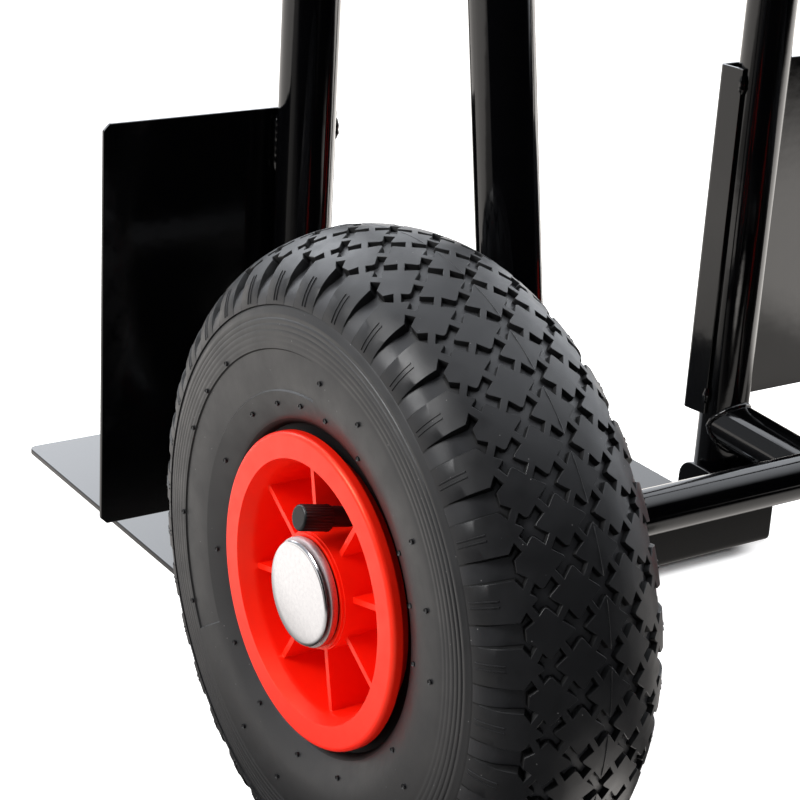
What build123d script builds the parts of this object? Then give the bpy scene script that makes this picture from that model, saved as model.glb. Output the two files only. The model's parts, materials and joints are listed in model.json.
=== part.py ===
"""Folding hand truck with pneumatic wheels and a toe plate that folds up.

Frame: +Z up, the floor at Z = 0, the toe plate towards -Y and the wheels towards +Y.
The origin is on the floor in the middle of the truck. "Left" is the left hand of someone
who stands behind the handles, which is +X. Left pieces are modelled and right ones mirrored.
All sizes are in millimetres and degrees.
"""
import os
from math import cos, hypot, radians, sin, tan

from build123d import *

# Wheel and tyre
TYRE_DIAMETER = 260.0
TYRE_WIDTH = 79.5
CROWN_WIDTH = 60.0
CROWN_DROP = 10.6
TREAD_WALL = 9.0
SIDE_WALL = 4.6
SHOULDER_DROP = 14.0
SHOULDER_SAGITTA = 1.4
SHOULDER_INSET = 1.6
BEAD_WIDTH = 6.0
BEAD_HEIGHT = 8.0
LUG_COUNT = 34
LUG_SLOT_PHASE = 5.7
LUG_SLOT_WIDTH = 9.0
LUG_SLOT_DEPTH = 3.0
INNER_TUBE_WALL = 2.0

# Rim, moulded in two halves that meet in the wheel's middle plane
RIM_WIDTH = 74.8
RIM_FLANGE_DIAMETER = 118.6
RIM_FLANGE_THICKNESS = 4.4
RIM_LIP_RADIUS = 2.0
RIM_SEAT_DIAMETER = 101.6
RIM_FACE_DIAMETER = 99.0
DISH_DIAMETER = 93.2
DISH_DEPTH = 7.4
WEB_THICKNESS = 7.0
RIB_COUNT = 8
RIB_THICKNESS = 2.2
RIB_PHASE = 13.0
RIB_ROOT = 1.0
HUB_LENGTH = 69.0
BOSS_DIAMETER = 43.2
BOSS_ROOT_DIAMETER = 44.2
BOSS_STEP = 1.2
RIM_SCREW_DIAMETER = 5.0
RIM_SCREW_LENGTH = 12.0
RIM_SCREW_HEAD_DIAMETER = 9.5
RIM_SCREW_HEAD_HEIGHT = 3.5
RIM_SCREW_CIRCLE = 70.0
RIM_SCREW_COUNT = 4

# Valve
VALVE_CIRCLE_RADIUS = 33.2
VALVE_ANGLE = 84.0
VALVE_STATION = 17.0
VALVE_STEM_DIAMETER = 7.6
VALVE_BEND_RADIUS = 7.0
VALVE_CAP_DIAMETER = 9.4
VALVE_CAP_LENGTH = 12.5
VALVE_CAP_ROUND = 0.8
VALVE_CAP_END = 2.5
VALVE_REACH = 45.0

# Wheel bearings, two in each hub
BEARING_DIAMETER = 40.0
BEARING_WIDTH = 12.0
BEARING_SHOULDER_DIAMETER = 34.0
BALL_DIAMETER = 6.7
BALL_COUNT = 8
RACE_CLEARANCE = 0.05
RACE_LAND = 2.35
SEAL_THICKNESS = 0.8
SEAL_INSET = 0.6

# Axle and what holds the wheels on it
TRACK = 405.0
AXLE_DIAMETER = 19.0
AXLE_STICK_OUT = 40.0
SHIM_DIAMETER = 27.0
SHIM_THICKNESS = 1.7
RETAINER_DIAMETER = 41.2
RETAINER_THICKNESS = 2.0
CAP_DIAMETER = 39.4
CAP_NECK_DIAMETER = 37.0
CAP_NECK_LENGTH = 2.4
CAP_EDGE = 0.8
CAP_DOME_HEIGHT = 3.0
CAP_WALL = 0.9
SPACER_DIAMETER = 27.0

# Frame tubes
TUBE_DIAMETER = 25.4
TUBE_WALL = 1.5
UPRIGHT_SPACING = 265.6
UPRIGHT_AHEAD = 189.0
HANDLE_HEIGHT = 1045.0
HANDLE_BEND_RADIUS = 60.0
HANDLE_RISE = 10.0
HANDLE_LENGTH = 135.0
STAY_LEAN = 10.1
STAY_AHEAD = 17.7
STAY_FOOT_HEIGHT = 64.0
STAY_FOOT_FALL = 2.5
STAY_BEND_RADIUS = 65.0
STAY_TOP_BEND_RADIUS = 150.0
STAY_TOP_LENGTH = 70.0
CROSS_BAR_DIAMETER = 20.0
CROSS_BAR_WALL = 1.5
CROSS_BAR_NAMES = ("lower_cross_bar", "middle_cross_bar", "upper_cross_bar")
FIRST_CROSS_BAR_HEIGHT = 360.0
CROSS_BAR_PITCH = 280.0
PLUG_HEAD = 3.0
PLUG_STEM = 10.0
GRIP_DIAMETER = 32.0
GRIP_LENGTH = 125.0
GRIP_END = 5.0
GRIP_ROUND = 4.0

# Wheel guards
GUARD_BOTTOM = 69.7
GUARD_TOP = 253.5
GUARD_OUTREACH = 91.1
GUARD_RETURN = 16.0
GUARD_RETURN_LEAN = 8.0
GUARD_SHEET = 2.0
GUARD_BEND_RADIUS = 1.0
GUARD_CORNER = 3.0

# Toe plate and its hinge
TOE_AHEAD = 254.0
TOE_THICKNESS = 3.0
TOE_BEND_RADIUS = 1.2
TOE_CORNER_RADIUS = 5.0
FLANGE_BEHIND = 26.5
FLANGE_HEIGHT = 42.2
FLANGE_CORNER_RADIUS = 5.0
HINGE_HEIGHT = 16.0
CHEEK_SPAN = 37.4
CHEEK_THICKNESS = 3.0
CHEEK_AHEAD = 9.0
CHEEK_CORNER_RADIUS = 9.5
HINGE_BOLT_DIAMETER = 8.0
HINGE_HEX_FLATS = 13.0
HINGE_HEAD_HEIGHT = 5.3
HINGE_NUT_HEIGHT = 8.0
HINGE_THREAD_END = 2.0
HINGE_WASHER_DIAMETER = 16.0
HINGE_WASHER_THICKNESS = 1.6
HINGE_SLEEVE_DIAMETER = 14.0

# Clearances
WELD_GAP = 0.1
SEAT_GAP = 0.05
RUNNING_GAP = 0.05
SIDE_GAP = 0.3
BEAD_GAP = 0.3
FLANGE_GAP = 0.6
INNER_TUBE_GAP = 0.3

# Places worked out from the sizes above
TYRE_RADIUS = TYRE_DIAMETER / 2
AXLE_Z = TYRE_RADIUS
AXLE_Y = (UPRIGHT_AHEAD + TOE_AHEAD - TYRE_RADIUS) / 2
WHEEL_X = TRACK / 2
UPRIGHT_X = UPRIGHT_SPACING / 2
UPRIGHT_Y = AXLE_Y - UPRIGHT_AHEAD
HINGE_Z = TOE_THICKNESS + HINGE_HEIGHT
AXLE_RADIUS = AXLE_DIAMETER / 2
TUBE_RADIUS = TUBE_DIAMETER / 2
BOSS_END = HUB_LENGTH / 2
WHEEL_CENTRE = Pos(WHEEL_X, AXLE_Y, AXLE_Z)


def turned(*edges):
    """Solid of revolution about X of a closed outline drawn as (station, radius)."""
    return revolve(make_face(Curve() + list(edges)), axis=Axis.X)


def rod(radius, start, end):
    """Round bar along X between two stations."""
    return Pos((start + end) / 2, 0, 0) * Rot(0, 90, 0) * Cylinder(radius, end - start)


def ring(inner_radius, outer_radius, start, end):
    """Ring about X between two stations."""
    return rod(outer_radius, start, end) - rod(inner_radius, start, end)


def upright_bar(radius, low, high):
    """Vertical round bar on the left upright's axis."""
    bar = Cylinder(radius, high - low, align=(Align.CENTER, Align.CENTER, Align.MIN))
    return Pos(UPRIGHT_X, UPRIGHT_Y, low) * bar


def bent_tube(path, diameter, wall):
    """Round tube swept along a path of lines and arcs."""
    start = Plane(origin=path @ 0, z_dir=path % 0)
    outside = sweep(start * Circle(diameter / 2), path=path)
    inside = sweep(start * Circle(diameter / 2 - wall), path=path)
    return outside - inside


def both_ends(piece):
    """A wheel piece and its mirror image across the wheel's middle plane."""
    return [piece, mirror(piece, about=Plane.YZ)]


def solids(pieces):
    """One group that holds the separate solids of several pieces."""
    return Compound([solid for piece in pieces for solid in piece.solids()])


def tyre_outline():
    """Points of the tyre's half section, from the bead's toe out to the crown."""
    flange_inside = RIM_WIDTH / 2 - RIM_FLANGE_THICKNESS - BEAD_GAP
    crown_edge_radius = TYRE_RADIUS - CROWN_DROP
    return {
        "bead_toe": (flange_inside - BEAD_WIDTH, RIM_SEAT_DIAMETER / 2 + BEAD_GAP),
        "bead_heel": (flange_inside, RIM_SEAT_DIAMETER / 2 + BEAD_GAP),
        "flange_top": (flange_inside, RIM_FLANGE_DIAMETER / 2 + FLANGE_GAP),
        "side_start": (RIM_WIDTH / 2 - RIM_LIP_RADIUS, RIM_FLANGE_DIAMETER / 2 + 2 * FLANGE_GAP),
        "side_middle": (TYRE_WIDTH / 2, (RIM_FLANGE_DIAMETER / 2 + crown_edge_radius) / 2),
        "side_end": (TYRE_WIDTH / 2 - SHOULDER_INSET, crown_edge_radius - SHOULDER_DROP),
        "crown_edge": (CROWN_WIDTH / 2, crown_edge_radius),
        "crown": (0, TYRE_RADIUS),
        "bead_top": (flange_inside - BEAD_WIDTH, RIM_SEAT_DIAMETER / 2 + BEAD_HEIGHT),
        "cavity_side": (TYRE_WIDTH / 2 - SIDE_WALL, (RIM_FLANGE_DIAMETER / 2 + crown_edge_radius) / 2),
        "cavity_edge": (CROWN_WIDTH / 2, crown_edge_radius - TREAD_WALL),
        "cavity_crown": (0, TYRE_RADIUS - TREAD_WALL),
        "cavity_floor": (flange_inside - BEAD_WIDTH, RIM_SEAT_DIAMETER / 2),
    }


def opposite(point):
    """The same point on the other side of the wheel's middle plane."""
    return (-point[0], point[1])


def cavity_edges(points, floor):
    """Edges of the tyre's cavity from one bead to the other, then across the given floor."""
    left = points[floor]
    right = opposite(left)
    return [
        Line(left, points["bead_top"]),
        ThreePointArc(points["bead_top"], points["cavity_side"], points["cavity_edge"]),
        ThreePointArc(points["cavity_edge"], points["cavity_crown"], opposite(points["cavity_edge"])),
        ThreePointArc(
            opposite(points["cavity_edge"]),
            opposite(points["cavity_side"]),
            opposite(points["bead_top"]),
        ),
        Line(opposite(points["bead_top"]), right),
    ]


def lug_slots():
    """Slots between the shoulder lugs on both sides of the tread."""
    points = tyre_outline()
    crown_edge = Vector(*points["crown_edge"])
    chord = Vector(*points["side_end"]) - crown_edge
    middle = crown_edge + chord / 2
    lean = Vector(1, 0).get_signed_angle(chord)
    cutter = Box(
        chord.length,
        2 * LUG_SLOT_DEPTH,
        LUG_SLOT_WIDTH,
        align=(Align.CENTER, Align.MIN, Align.CENTER),
    )
    floor = SHOULDER_SAGITTA - LUG_SLOT_DEPTH
    slot = Pos(middle.X, middle.Y, 0) * Rot(0, 0, lean) * Pos(0, floor, 0) * cutter
    pitch = 360 / LUG_COUNT
    slots = [Rot(LUG_SLOT_PHASE + pitch * i, 0, 0) * slot for i in range(LUG_COUNT)]
    return slots + [mirror(one, about=Plane.YZ) for one in slots]


def tyre():
    """Tyre with its cavity and the slots between its shoulder lugs."""
    points = tyre_outline()
    half = [
        Line(points["bead_toe"], points["bead_heel"]),
        Line(points["bead_heel"], points["flange_top"]),
        Line(points["flange_top"], points["side_start"]),
        ThreePointArc(points["side_start"], points["side_middle"], points["side_end"]),
        SagittaArc(points["side_end"], points["crown_edge"], SHOULDER_SAGITTA),
    ]
    other_half = [mirror(edge, about=Plane.YZ) for edge in half]
    crown = ThreePointArc(points["crown_edge"], points["crown"], opposite(points["crown_edge"]))
    body = turned(*half, crown, *other_half, *cavity_edges(points, "bead_toe"))
    return body - lug_slots()


def inner_tube():
    """Hollow rubber tube that fills the tyre's cavity."""
    points = tyre_outline()
    floor = Line(opposite(points["cavity_floor"]), points["cavity_floor"])
    cavity = make_face(Curve() + [*cavity_edges(points, "cavity_floor"), floor])
    outside = offset(cavity, amount=-INNER_TUBE_GAP)
    inside = offset(cavity, amount=-INNER_TUBE_GAP - INNER_TUBE_WALL)
    return revolve(outside - inside, axis=Axis.X)


def rim_half(with_valve_hole):
    """Rim half on the +X side of the wheel's middle plane."""
    face = RIM_WIDTH / 2
    flange = RIM_FLANGE_DIAMETER / 2
    seat = RIM_SEAT_DIAMETER / 2
    bearing_seat = BEARING_DIAMETER / 2 + SEAT_GAP
    bearing_floor = BOSS_END - BEARING_WIDTH
    dish_floor = face - DISH_DEPTH
    body = turned(
        Polyline(
            (face - RIM_LIP_RADIUS, flange),
            (face - RIM_FLANGE_THICKNESS, flange),
            (face - RIM_FLANGE_THICKNESS, seat),
            (0, seat),
            (0, BEARING_SHOULDER_DIAMETER / 2),
            (bearing_floor, BEARING_SHOULDER_DIAMETER / 2),
            (bearing_floor, bearing_seat),
            (BOSS_END, bearing_seat),
            (BOSS_END, BOSS_DIAMETER / 2),
            (BOSS_END - BOSS_STEP, BOSS_DIAMETER / 2),
            (BOSS_END - BOSS_STEP, BOSS_ROOT_DIAMETER / 2),
            (WEB_THICKNESS, BOSS_ROOT_DIAMETER / 2),
            (WEB_THICKNESS, DISH_DIAMETER / 2),
            (dish_floor, DISH_DIAMETER / 2),
            (face, RIM_FACE_DIAMETER / 2),
            (face, flange - RIM_LIP_RADIUS),
        ),
        RadiusArc((face, flange - RIM_LIP_RADIUS), (face - RIM_LIP_RADIUS, flange), -RIM_LIP_RADIUS),
    )
    root = BOSS_ROOT_DIAMETER / 2 - RIB_ROOT
    reach = DISH_DIAMETER / 2 + RIB_ROOT - root
    height = dish_floor - WEB_THICKNESS + RIB_ROOT
    rib = Pos(dish_floor - height / 2, root + reach / 2, 0) * Box(height, reach, RIB_THICKNESS)
    ribs = [Rot(RIB_PHASE + 360 / RIB_COUNT * i, 0, 0) * rib for i in range(RIB_COUNT)]
    body = body + ribs
    holes = [place * rod(RIM_SCREW_DIAMETER / 2 + SEAT_GAP, 0, screw_reach()) for place in screw_places()]
    if with_valve_hole:
        radius = VALVE_STEM_DIAMETER / 2 + SEAT_GAP
        hole = Pos(VALVE_STATION, seat, 0) * Rot(90, 0, 0) * Cylinder(radius, seat - VALVE_CIRCLE_RADIUS)
        holes.append(Rot(VALVE_ANGLE, 0, 0) * hole)
    return body - holes


def screw_places():
    """Places of the rim screws, in the middle of pockets that don't hold the valve."""
    first = RIB_PHASE + 180 / RIB_COUNT
    pitch = 360 / RIM_SCREW_COUNT
    return [Rot(first + pitch * i, 0, 0) * Pos(0, RIM_SCREW_CIRCLE / 2, 0) for i in range(RIM_SCREW_COUNT)]


def screw_reach():
    """How far the rim screws' holes go into each half, which leaves the outer pocket's floor closed."""
    return RIM_SCREW_LENGTH - WEB_THICKNESS + SIDE_GAP


def outer_rim():
    """Rim half that faces outwards, with the valve's hole and blind holes for the screws."""
    return rim_half(with_valve_hole=True)


def inner_rim():
    """Rim half that faces the frame, drilled through for the screws."""
    half = rim_half(with_valve_hole=False)
    through = rod(RIM_SCREW_DIAMETER / 2 + SEAT_GAP, 0, WEB_THICKNESS)
    return mirror(half - [place * through for place in screw_places()], about=Plane.YZ)


def rim_screws():
    """Pan head screws from the inner half's pockets into the outer half."""
    head = rod(RIM_SCREW_HEAD_DIAMETER / 2, -WEB_THICKNESS - RIM_SCREW_HEAD_HEIGHT, -WEB_THICKNESS)
    crown_edge = head.edges().sort_by(Axis.X)[0]
    screw = fillet(crown_edge, RIM_SCREW_HEAD_HEIGHT / 2)
    screw = screw + rod(RIM_SCREW_DIAMETER / 2, -WEB_THICKNESS, RIM_SCREW_LENGTH - WEB_THICKNESS)
    return solids([place * screw for place in screw_places()])


def valve_stem():
    """Stem that leaves the inner tube through the rim and bends out towards the cap."""
    foot = RIM_SEAT_DIAMETER / 2
    tip = VALVE_REACH - VALVE_CAP_END - SEAT_GAP
    path = FilletPolyline(
        (VALVE_STATION, foot),
        (VALVE_STATION, VALVE_CIRCLE_RADIUS),
        (tip, VALVE_CIRCLE_RADIUS),
        radius=VALVE_BEND_RADIUS,
    )
    start = Plane(origin=path @ 0, z_dir=path % 0)
    stem = sweep(start * Circle(VALVE_STEM_DIAMETER / 2), path=path)
    return Rot(VALVE_ANGLE, 0, 0) * stem


def valve_cap():
    """Screw cap over the valve stem's end."""
    base = VALVE_REACH - VALVE_CAP_LENGTH
    outside = rod(VALVE_CAP_DIAMETER / 2, base, VALVE_REACH)
    outside = fillet(outside.edges().sort_by(Axis.X)[-1], VALVE_CAP_ROUND)
    bore = rod(VALVE_STEM_DIAMETER / 2 + SEAT_GAP, base, VALVE_REACH - VALVE_CAP_END)
    return Rot(VALVE_ANGLE, 0, 0) * Pos(0, VALVE_CIRCLE_RADIUS, 0) * (outside - bore)


def ball_circle_radius():
    """Radius of the circle that the bearing balls run on."""
    return (AXLE_RADIUS + BEARING_DIAMETER / 2) / 2


def ball_groove():
    """Ring that the balls sweep out, used to cut both races."""
    middle = BOSS_END - BEARING_WIDTH / 2
    section = Pos(middle, ball_circle_radius()) * Circle(BALL_DIAMETER / 2 + RACE_CLEARANCE)
    return revolve(section, axis=Axis.X)


def bearing_outer_rings():
    """Outer rings, seated in the hub."""
    inside = ball_circle_radius() + RACE_LAND
    body = ring(inside, BEARING_DIAMETER / 2, BOSS_END - BEARING_WIDTH, BOSS_END)
    return solids(both_ends(body - ball_groove()))


def bearing_inner_rings():
    """Inner rings, seated on the axle."""
    outside = ball_circle_radius() - RACE_LAND
    body = ring(AXLE_RADIUS + SEAT_GAP, outside, BOSS_END - BEARING_WIDTH, BOSS_END)
    return solids(both_ends(body - ball_groove()))


def bearing_balls():
    """Balls of both bearings."""
    middle = BOSS_END - BEARING_WIDTH / 2
    ball = Pos(middle, ball_circle_radius(), 0) * Sphere(BALL_DIAMETER / 2)
    row = [Rot(360 / BALL_COUNT * i, 0, 0) * ball for i in range(BALL_COUNT)]
    return solids([one for ball in row for one in both_ends(ball)])


def bearing_seals():
    """Rubber seals that close both sides of each bearing."""
    inside = ball_circle_radius() - RACE_LAND + SIDE_GAP
    outside = ball_circle_radius() + RACE_LAND - SEAT_GAP
    outer_face = BOSS_END - SEAL_INSET
    inner_face = BOSS_END - BEARING_WIDTH + SEAL_INSET
    pair = [
        ring(inside, outside, outer_face - SEAL_THICKNESS, outer_face),
        ring(inside, outside, inner_face, inner_face + SEAL_THICKNESS),
    ]
    return solids([one for seal in pair for one in both_ends(seal)])


def axle():
    """Round bar that carries both wheels and the frame."""
    end = WHEEL_X + AXLE_STICK_OUT
    return Pos(0, AXLE_Y, AXLE_Z) * rod(AXLE_RADIUS, -end, end)


def axle_shim():
    """Shim between the bearing's inner ring and the cap's retainer."""
    return ring(AXLE_RADIUS + SEAT_GAP, SHIM_DIAMETER / 2, BOSS_END, BOSS_END + SHIM_THICKNESS)


def retainer_start():
    """Station of the retainer's inner face."""
    return BOSS_END + SHIM_THICKNESS


def cap_retainer():
    """Push-on ring that grips the axle's end and carries the cap."""
    start = retainer_start()
    return ring(AXLE_RADIUS + SEAT_GAP, RETAINER_DIAMETER / 2, start, start + RETAINER_THICKNESS)


def axle_cap():
    """Domed cap over the axle's end, a thin pressing with a narrow neck."""
    start = retainer_start() + RETAINER_THICKNESS
    edge = start + CAP_NECK_LENGTH
    neck = CAP_NECK_DIAMETER / 2
    radius = CAP_DIAMETER / 2
    dome = edge + CAP_EDGE + CAP_DOME_HEIGHT
    hollow = edge + CAP_EDGE + CAP_DOME_HEIGHT - CAP_WALL
    axis_points = ((hollow, 0), (dome, 0))
    outside = Polyline((start, neck), (edge, neck), (edge, radius), (edge + CAP_EDGE, radius))
    dome_arc = cap_arc((edge + CAP_EDGE, radius), axis_points[1])
    inside = Polyline((start, neck), (start, neck - CAP_WALL), (edge + CAP_EDGE, neck - CAP_WALL))
    hollow_arc = cap_arc((edge + CAP_EDGE, neck - CAP_WALL), axis_points[0])
    return turned(outside, dome_arc, Line(*axis_points), hollow_arc, inside)


def cap_arc(edge, apex):
    """Arc of a dome's half section, square to the axis at its apex."""
    return TangentArc(apex, edge, tangent=(0, 1))


def axle_spacer():
    """Sleeve that keeps the wheel clear of the rear stay."""
    end = WHEEL_X - UPRIGHT_X - TUBE_RADIUS - SIDE_GAP
    return ring(AXLE_RADIUS + SEAT_GAP, SPACER_DIAMETER / 2, -end, -BOSS_END)


def handle_corner_height():
    """Height where the upright's axis and the handle's axis would meet."""
    turn = 90 - HANDLE_RISE
    return HANDLE_HEIGHT + HANDLE_BEND_RADIUS * tan(radians(turn / 2))


def handle_direction():
    """Direction of the handle, backwards and slightly up."""
    return Vector(0, cos(radians(HANDLE_RISE)), sin(radians(HANDLE_RISE)))


def handle_start():
    """End of the handle's bend, where its straight part starts."""
    tangent = handle_corner_height() - HANDLE_HEIGHT
    return Vector(UPRIGHT_X, UPRIGHT_Y, handle_corner_height()) + handle_direction() * tangent


def hinge_place():
    """Middle of the left hinge, on its axis."""
    return Pos(UPRIGHT_X, UPRIGHT_Y, HINGE_Z)


def upright():
    """Upright tube from the toe plate to the handle's end."""
    foot = TOE_THICKNESS + SIDE_GAP
    path = FilletPolyline(
        (UPRIGHT_X, UPRIGHT_Y, foot),
        (UPRIGHT_X, UPRIGHT_Y, handle_corner_height()),
        handle_start() + handle_direction() * HANDLE_LENGTH,
        radius=HANDLE_BEND_RADIUS,
    )
    tube = bent_tube(path, TUBE_DIAMETER, TUBE_WALL)
    tube = tube - hinge_place() * rod(HINGE_SLEEVE_DIAMETER / 2 + SEAT_GAP, -TUBE_DIAMETER, TUBE_DIAMETER)
    corner = Box(TUBE_DIAMETER, TUBE_DIAMETER, HINGE_Z, align=(Align.CENTER, Align.MAX, Align.MAX))
    heel = corner - rod(HINGE_Z - foot, -TUBE_DIAMETER, TUBE_DIAMETER)
    return tube - hinge_place() * heel


def hinge_sleeve():
    """Sleeve through the upright's foot that the hinge bolt turns in."""
    half = CHEEK_SPAN / 2 - CHEEK_THICKNESS - SIDE_GAP
    inside = HINGE_BOLT_DIAMETER / 2 + RUNNING_GAP
    return hinge_place() * ring(inside, HINGE_SLEEVE_DIAMETER / 2, -half, half)


def stay_top_corner():
    """Point where the rear stay turns upright beside the upright tube."""
    y = UPRIGHT_Y + TUBE_DIAMETER + 2 * WELD_GAP
    z = AXLE_Z + (AXLE_Y - STAY_AHEAD - y) / tan(radians(STAY_LEAN))
    return Vector(UPRIGHT_X, y, z)


def stay_low_corner():
    """Point where the rear stay's leaning part and its falling foot would meet."""
    lean = tan(radians(STAY_LEAN))
    fall = tan(radians(STAY_FOOT_FALL))
    at_foot_height = AXLE_Y - STAY_AHEAD + (AXLE_Z - STAY_FOOT_HEIGHT) * lean
    y = (at_foot_height - UPRIGHT_Y * fall * lean) / (1 - fall * lean)
    return Vector(UPRIGHT_X, y, STAY_FOOT_HEIGHT - (y - UPRIGHT_Y) * fall)


def stay_top():
    """Upper end of the rear stay."""
    return stay_top_corner() + Vector(0, 0, STAY_TOP_LENGTH)


def rear_stay():
    """Bent tube from the upright's foot, under the axle and up to the upright's top."""
    path = FilletPolyline(
        (UPRIGHT_X, UPRIGHT_Y, STAY_FOOT_HEIGHT),
        stay_low_corner(),
        stay_top_corner(),
        stay_top(),
        radius=(STAY_BEND_RADIUS, STAY_TOP_BEND_RADIUS),
    )
    tube = bent_tube(path, TUBE_DIAMETER, TUBE_WALL)
    low = STAY_FOOT_HEIGHT - TUBE_DIAMETER
    high = STAY_FOOT_HEIGHT + TUBE_DIAMETER
    saddle = Pos(UPRIGHT_X, AXLE_Y, AXLE_Z) * rod(AXLE_RADIUS + WELD_GAP, -TUBE_DIAMETER, TUBE_DIAMETER)
    return tube - upright_bar(TUBE_RADIUS + WELD_GAP, low, high) - saddle


def stay_plug():
    """Plastic plug in the rear stay's open top."""
    top = stay_top()
    head = Cylinder(TUBE_RADIUS, PLUG_HEAD, align=(Align.CENTER, Align.CENTER, Align.MIN))
    head = fillet(head.edges().sort_by(Axis.Z)[-1], PLUG_HEAD / 2)
    stem_radius = TUBE_RADIUS - TUBE_WALL - SEAT_GAP
    stem = Cylinder(stem_radius, PLUG_STEM, align=(Align.CENTER, Align.CENTER, Align.MAX))
    return Pos(top.X, top.Y, top.Z) * (head + stem)


def cross_bar(height):
    """Tube between the uprights, its ends cut to fit them."""
    half = UPRIGHT_X
    radius = CROSS_BAR_DIAMETER / 2
    bar = Pos(0, UPRIGHT_Y, height) * ring(radius - CROSS_BAR_WALL, radius, -half, half)
    cutter = upright_bar(TUBE_RADIUS + WELD_GAP, height - TUBE_DIAMETER, height + TUBE_DIAMETER)
    return bar - cutter - mirror(cutter, about=Plane.YZ)


def handle_grip():
    """Plastic sleeve on the handle, closed at its end."""
    end = handle_start() + handle_direction() * (HANDLE_LENGTH + GRIP_END)
    place = Plane(origin=end, z_dir=-handle_direction())
    low = (Align.CENTER, Align.CENTER, Align.MIN)
    sleeve = Cylinder(GRIP_DIAMETER / 2, GRIP_LENGTH, align=low)
    sleeve = fillet(sleeve.edges().sort_by(Axis.Z)[0], GRIP_ROUND)
    bore = Cylinder(TUBE_RADIUS + SEAT_GAP, GRIP_LENGTH, align=low)
    return place * (sleeve - Pos(0, 0, GRIP_END - SEAT_GAP) * bore)


def wheel_guard():
    """Sheet in front of the wheel, bent back until it touches the upright's inner side."""
    lean = radians(GUARD_RETURN_LEAN)
    along = Vector(sin(lean), cos(lean))
    across = Vector(cos(lean), -sin(lean)) * GUARD_SHEET
    corner_share = (1 + sin(lean)) / cos(lean)
    back = UPRIGHT_Y - TUBE_RADIUS - WELD_GAP
    front = back - GUARD_SHEET
    outer = UPRIGHT_X + GUARD_OUTREACH
    corner = Vector(UPRIGHT_X - (UPRIGHT_Y - front) * corner_share, front)
    tip = corner + along * GUARD_RETURN
    inside_corner = corner + across + along * GUARD_SHEET * corner_share
    outline = FilletPolyline(
        (outer, front),
        corner,
        tip,
        tip + across,
        inside_corner,
        (outer, back),
        close=True,
        radius=(0, GUARD_BEND_RADIUS + GUARD_SHEET, 0, 0, GUARD_BEND_RADIUS, 0),
    )
    sheet = Pos(0, 0, GUARD_BOTTOM) * extrude(make_face(outline), amount=GUARD_TOP - GUARD_BOTTOM)
    outer_face = sheet.faces().sort_by(Axis.X)[-1]
    return chamfer(outer_face.edges().filter_by(Axis.Y), GUARD_CORNER)


def toe_width():
    """Width of the toe plate, flush with the outer hinge cheeks."""
    return UPRIGHT_SPACING + CHEEK_SPAN


def toe_plate():
    """Sheet that carries the load, bent up at the back into a flange."""
    rear = UPRIGHT_Y + FLANGE_BEHIND
    front = UPRIGHT_Y - TOE_AHEAD
    inside = TOE_THICKNESS
    outline = FilletPolyline(
        (front, 0),
        (rear, 0),
        (rear, FLANGE_HEIGHT),
        (rear - inside, FLANGE_HEIGHT),
        (rear - inside, inside),
        (front, inside),
        close=True,
        radius=(0, TOE_BEND_RADIUS + TOE_THICKNESS, 0, 0, TOE_BEND_RADIUS, 0),
    )
    half = toe_width() / 2
    plate = extrude(Plane.YZ * make_face(outline), amount=half, both=True)
    front_corners = plate.edges().filter_by(Axis.Z).group_by(Axis.Y)[0]
    plate = fillet(front_corners, TOE_CORNER_RADIUS)
    flange_corners = plate.edges().filter_by(Axis.Y).group_by(Axis.Z)[-1]
    return fillet(flange_corners, FLANGE_CORNER_RADIUS)


def hinge_cheeks():
    """Two plates that stand on the toe plate, one on each side of the upright's foot."""
    rear = UPRIGHT_Y + FLANGE_BEHIND - TOE_THICKNESS
    front = UPRIGHT_Y - CHEEK_AHEAD
    relief = TOE_BEND_RADIUS + SIDE_GAP
    outline = FilletPolyline(
        (front, TOE_THICKNESS),
        (rear - relief, TOE_THICKNESS),
        (rear, TOE_THICKNESS + relief),
        (rear, FLANGE_HEIGHT - FLANGE_CORNER_RADIUS),
        (rear - FLANGE_CORNER_RADIUS, FLANGE_HEIGHT),
        (front, FLANGE_HEIGHT),
        close=True,
        radius=(0, 0, 0, 0, 0, CHEEK_CORNER_RADIUS),
    )
    hole = Pos(UPRIGHT_Y, HINGE_Z) * Circle(HINGE_BOLT_DIAMETER / 2 + SEAT_GAP)
    cheek = extrude(Plane.YZ * (make_face(outline) - hole), amount=CHEEK_THICKNESS)
    half = CHEEK_SPAN / 2
    places = (UPRIGHT_X - half, UPRIGHT_X + half - CHEEK_THICKNESS)
    return solids([Pos(x, 0, 0) * cheek for x in places])


def hexagon(start, height):
    """Hexagonal prism along X."""
    section = RegularPolygon(HINGE_HEX_FLATS / 2, 6, major_radius=False)
    return Pos(start, 0, 0) * extrude(Plane.YZ * section, amount=height)


def hinge_bolt():
    """Hexagon bolt through both cheeks, its head outside."""
    seat = CHEEK_SPAN / 2 + HINGE_WASHER_THICKNESS
    end = seat + HINGE_NUT_HEIGHT + HINGE_THREAD_END
    return hinge_place() * (hexagon(seat, HINGE_HEAD_HEIGHT) + rod(HINGE_BOLT_DIAMETER / 2, -end, seat))


def hinge_nut():
    """Lock nut on the hinge bolt, on the truck's inner side."""
    seat = CHEEK_SPAN / 2 + HINGE_WASHER_THICKNESS
    bore = rod(HINGE_BOLT_DIAMETER / 2 + SEAT_GAP, -seat - HINGE_NUT_HEIGHT, -seat)
    return hinge_place() * (hexagon(-seat - HINGE_NUT_HEIGHT, HINGE_NUT_HEIGHT) - bore)


def hinge_washers():
    """Washers under the hinge bolt's head and nut."""
    start = CHEEK_SPAN / 2
    end = start + HINGE_WASHER_THICKNESS
    washer = ring(HINGE_BOLT_DIAMETER / 2 + SEAT_GAP, HINGE_WASHER_DIAMETER / 2, start, end)
    return [hinge_place() * one for one in both_ends(washer)]


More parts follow.
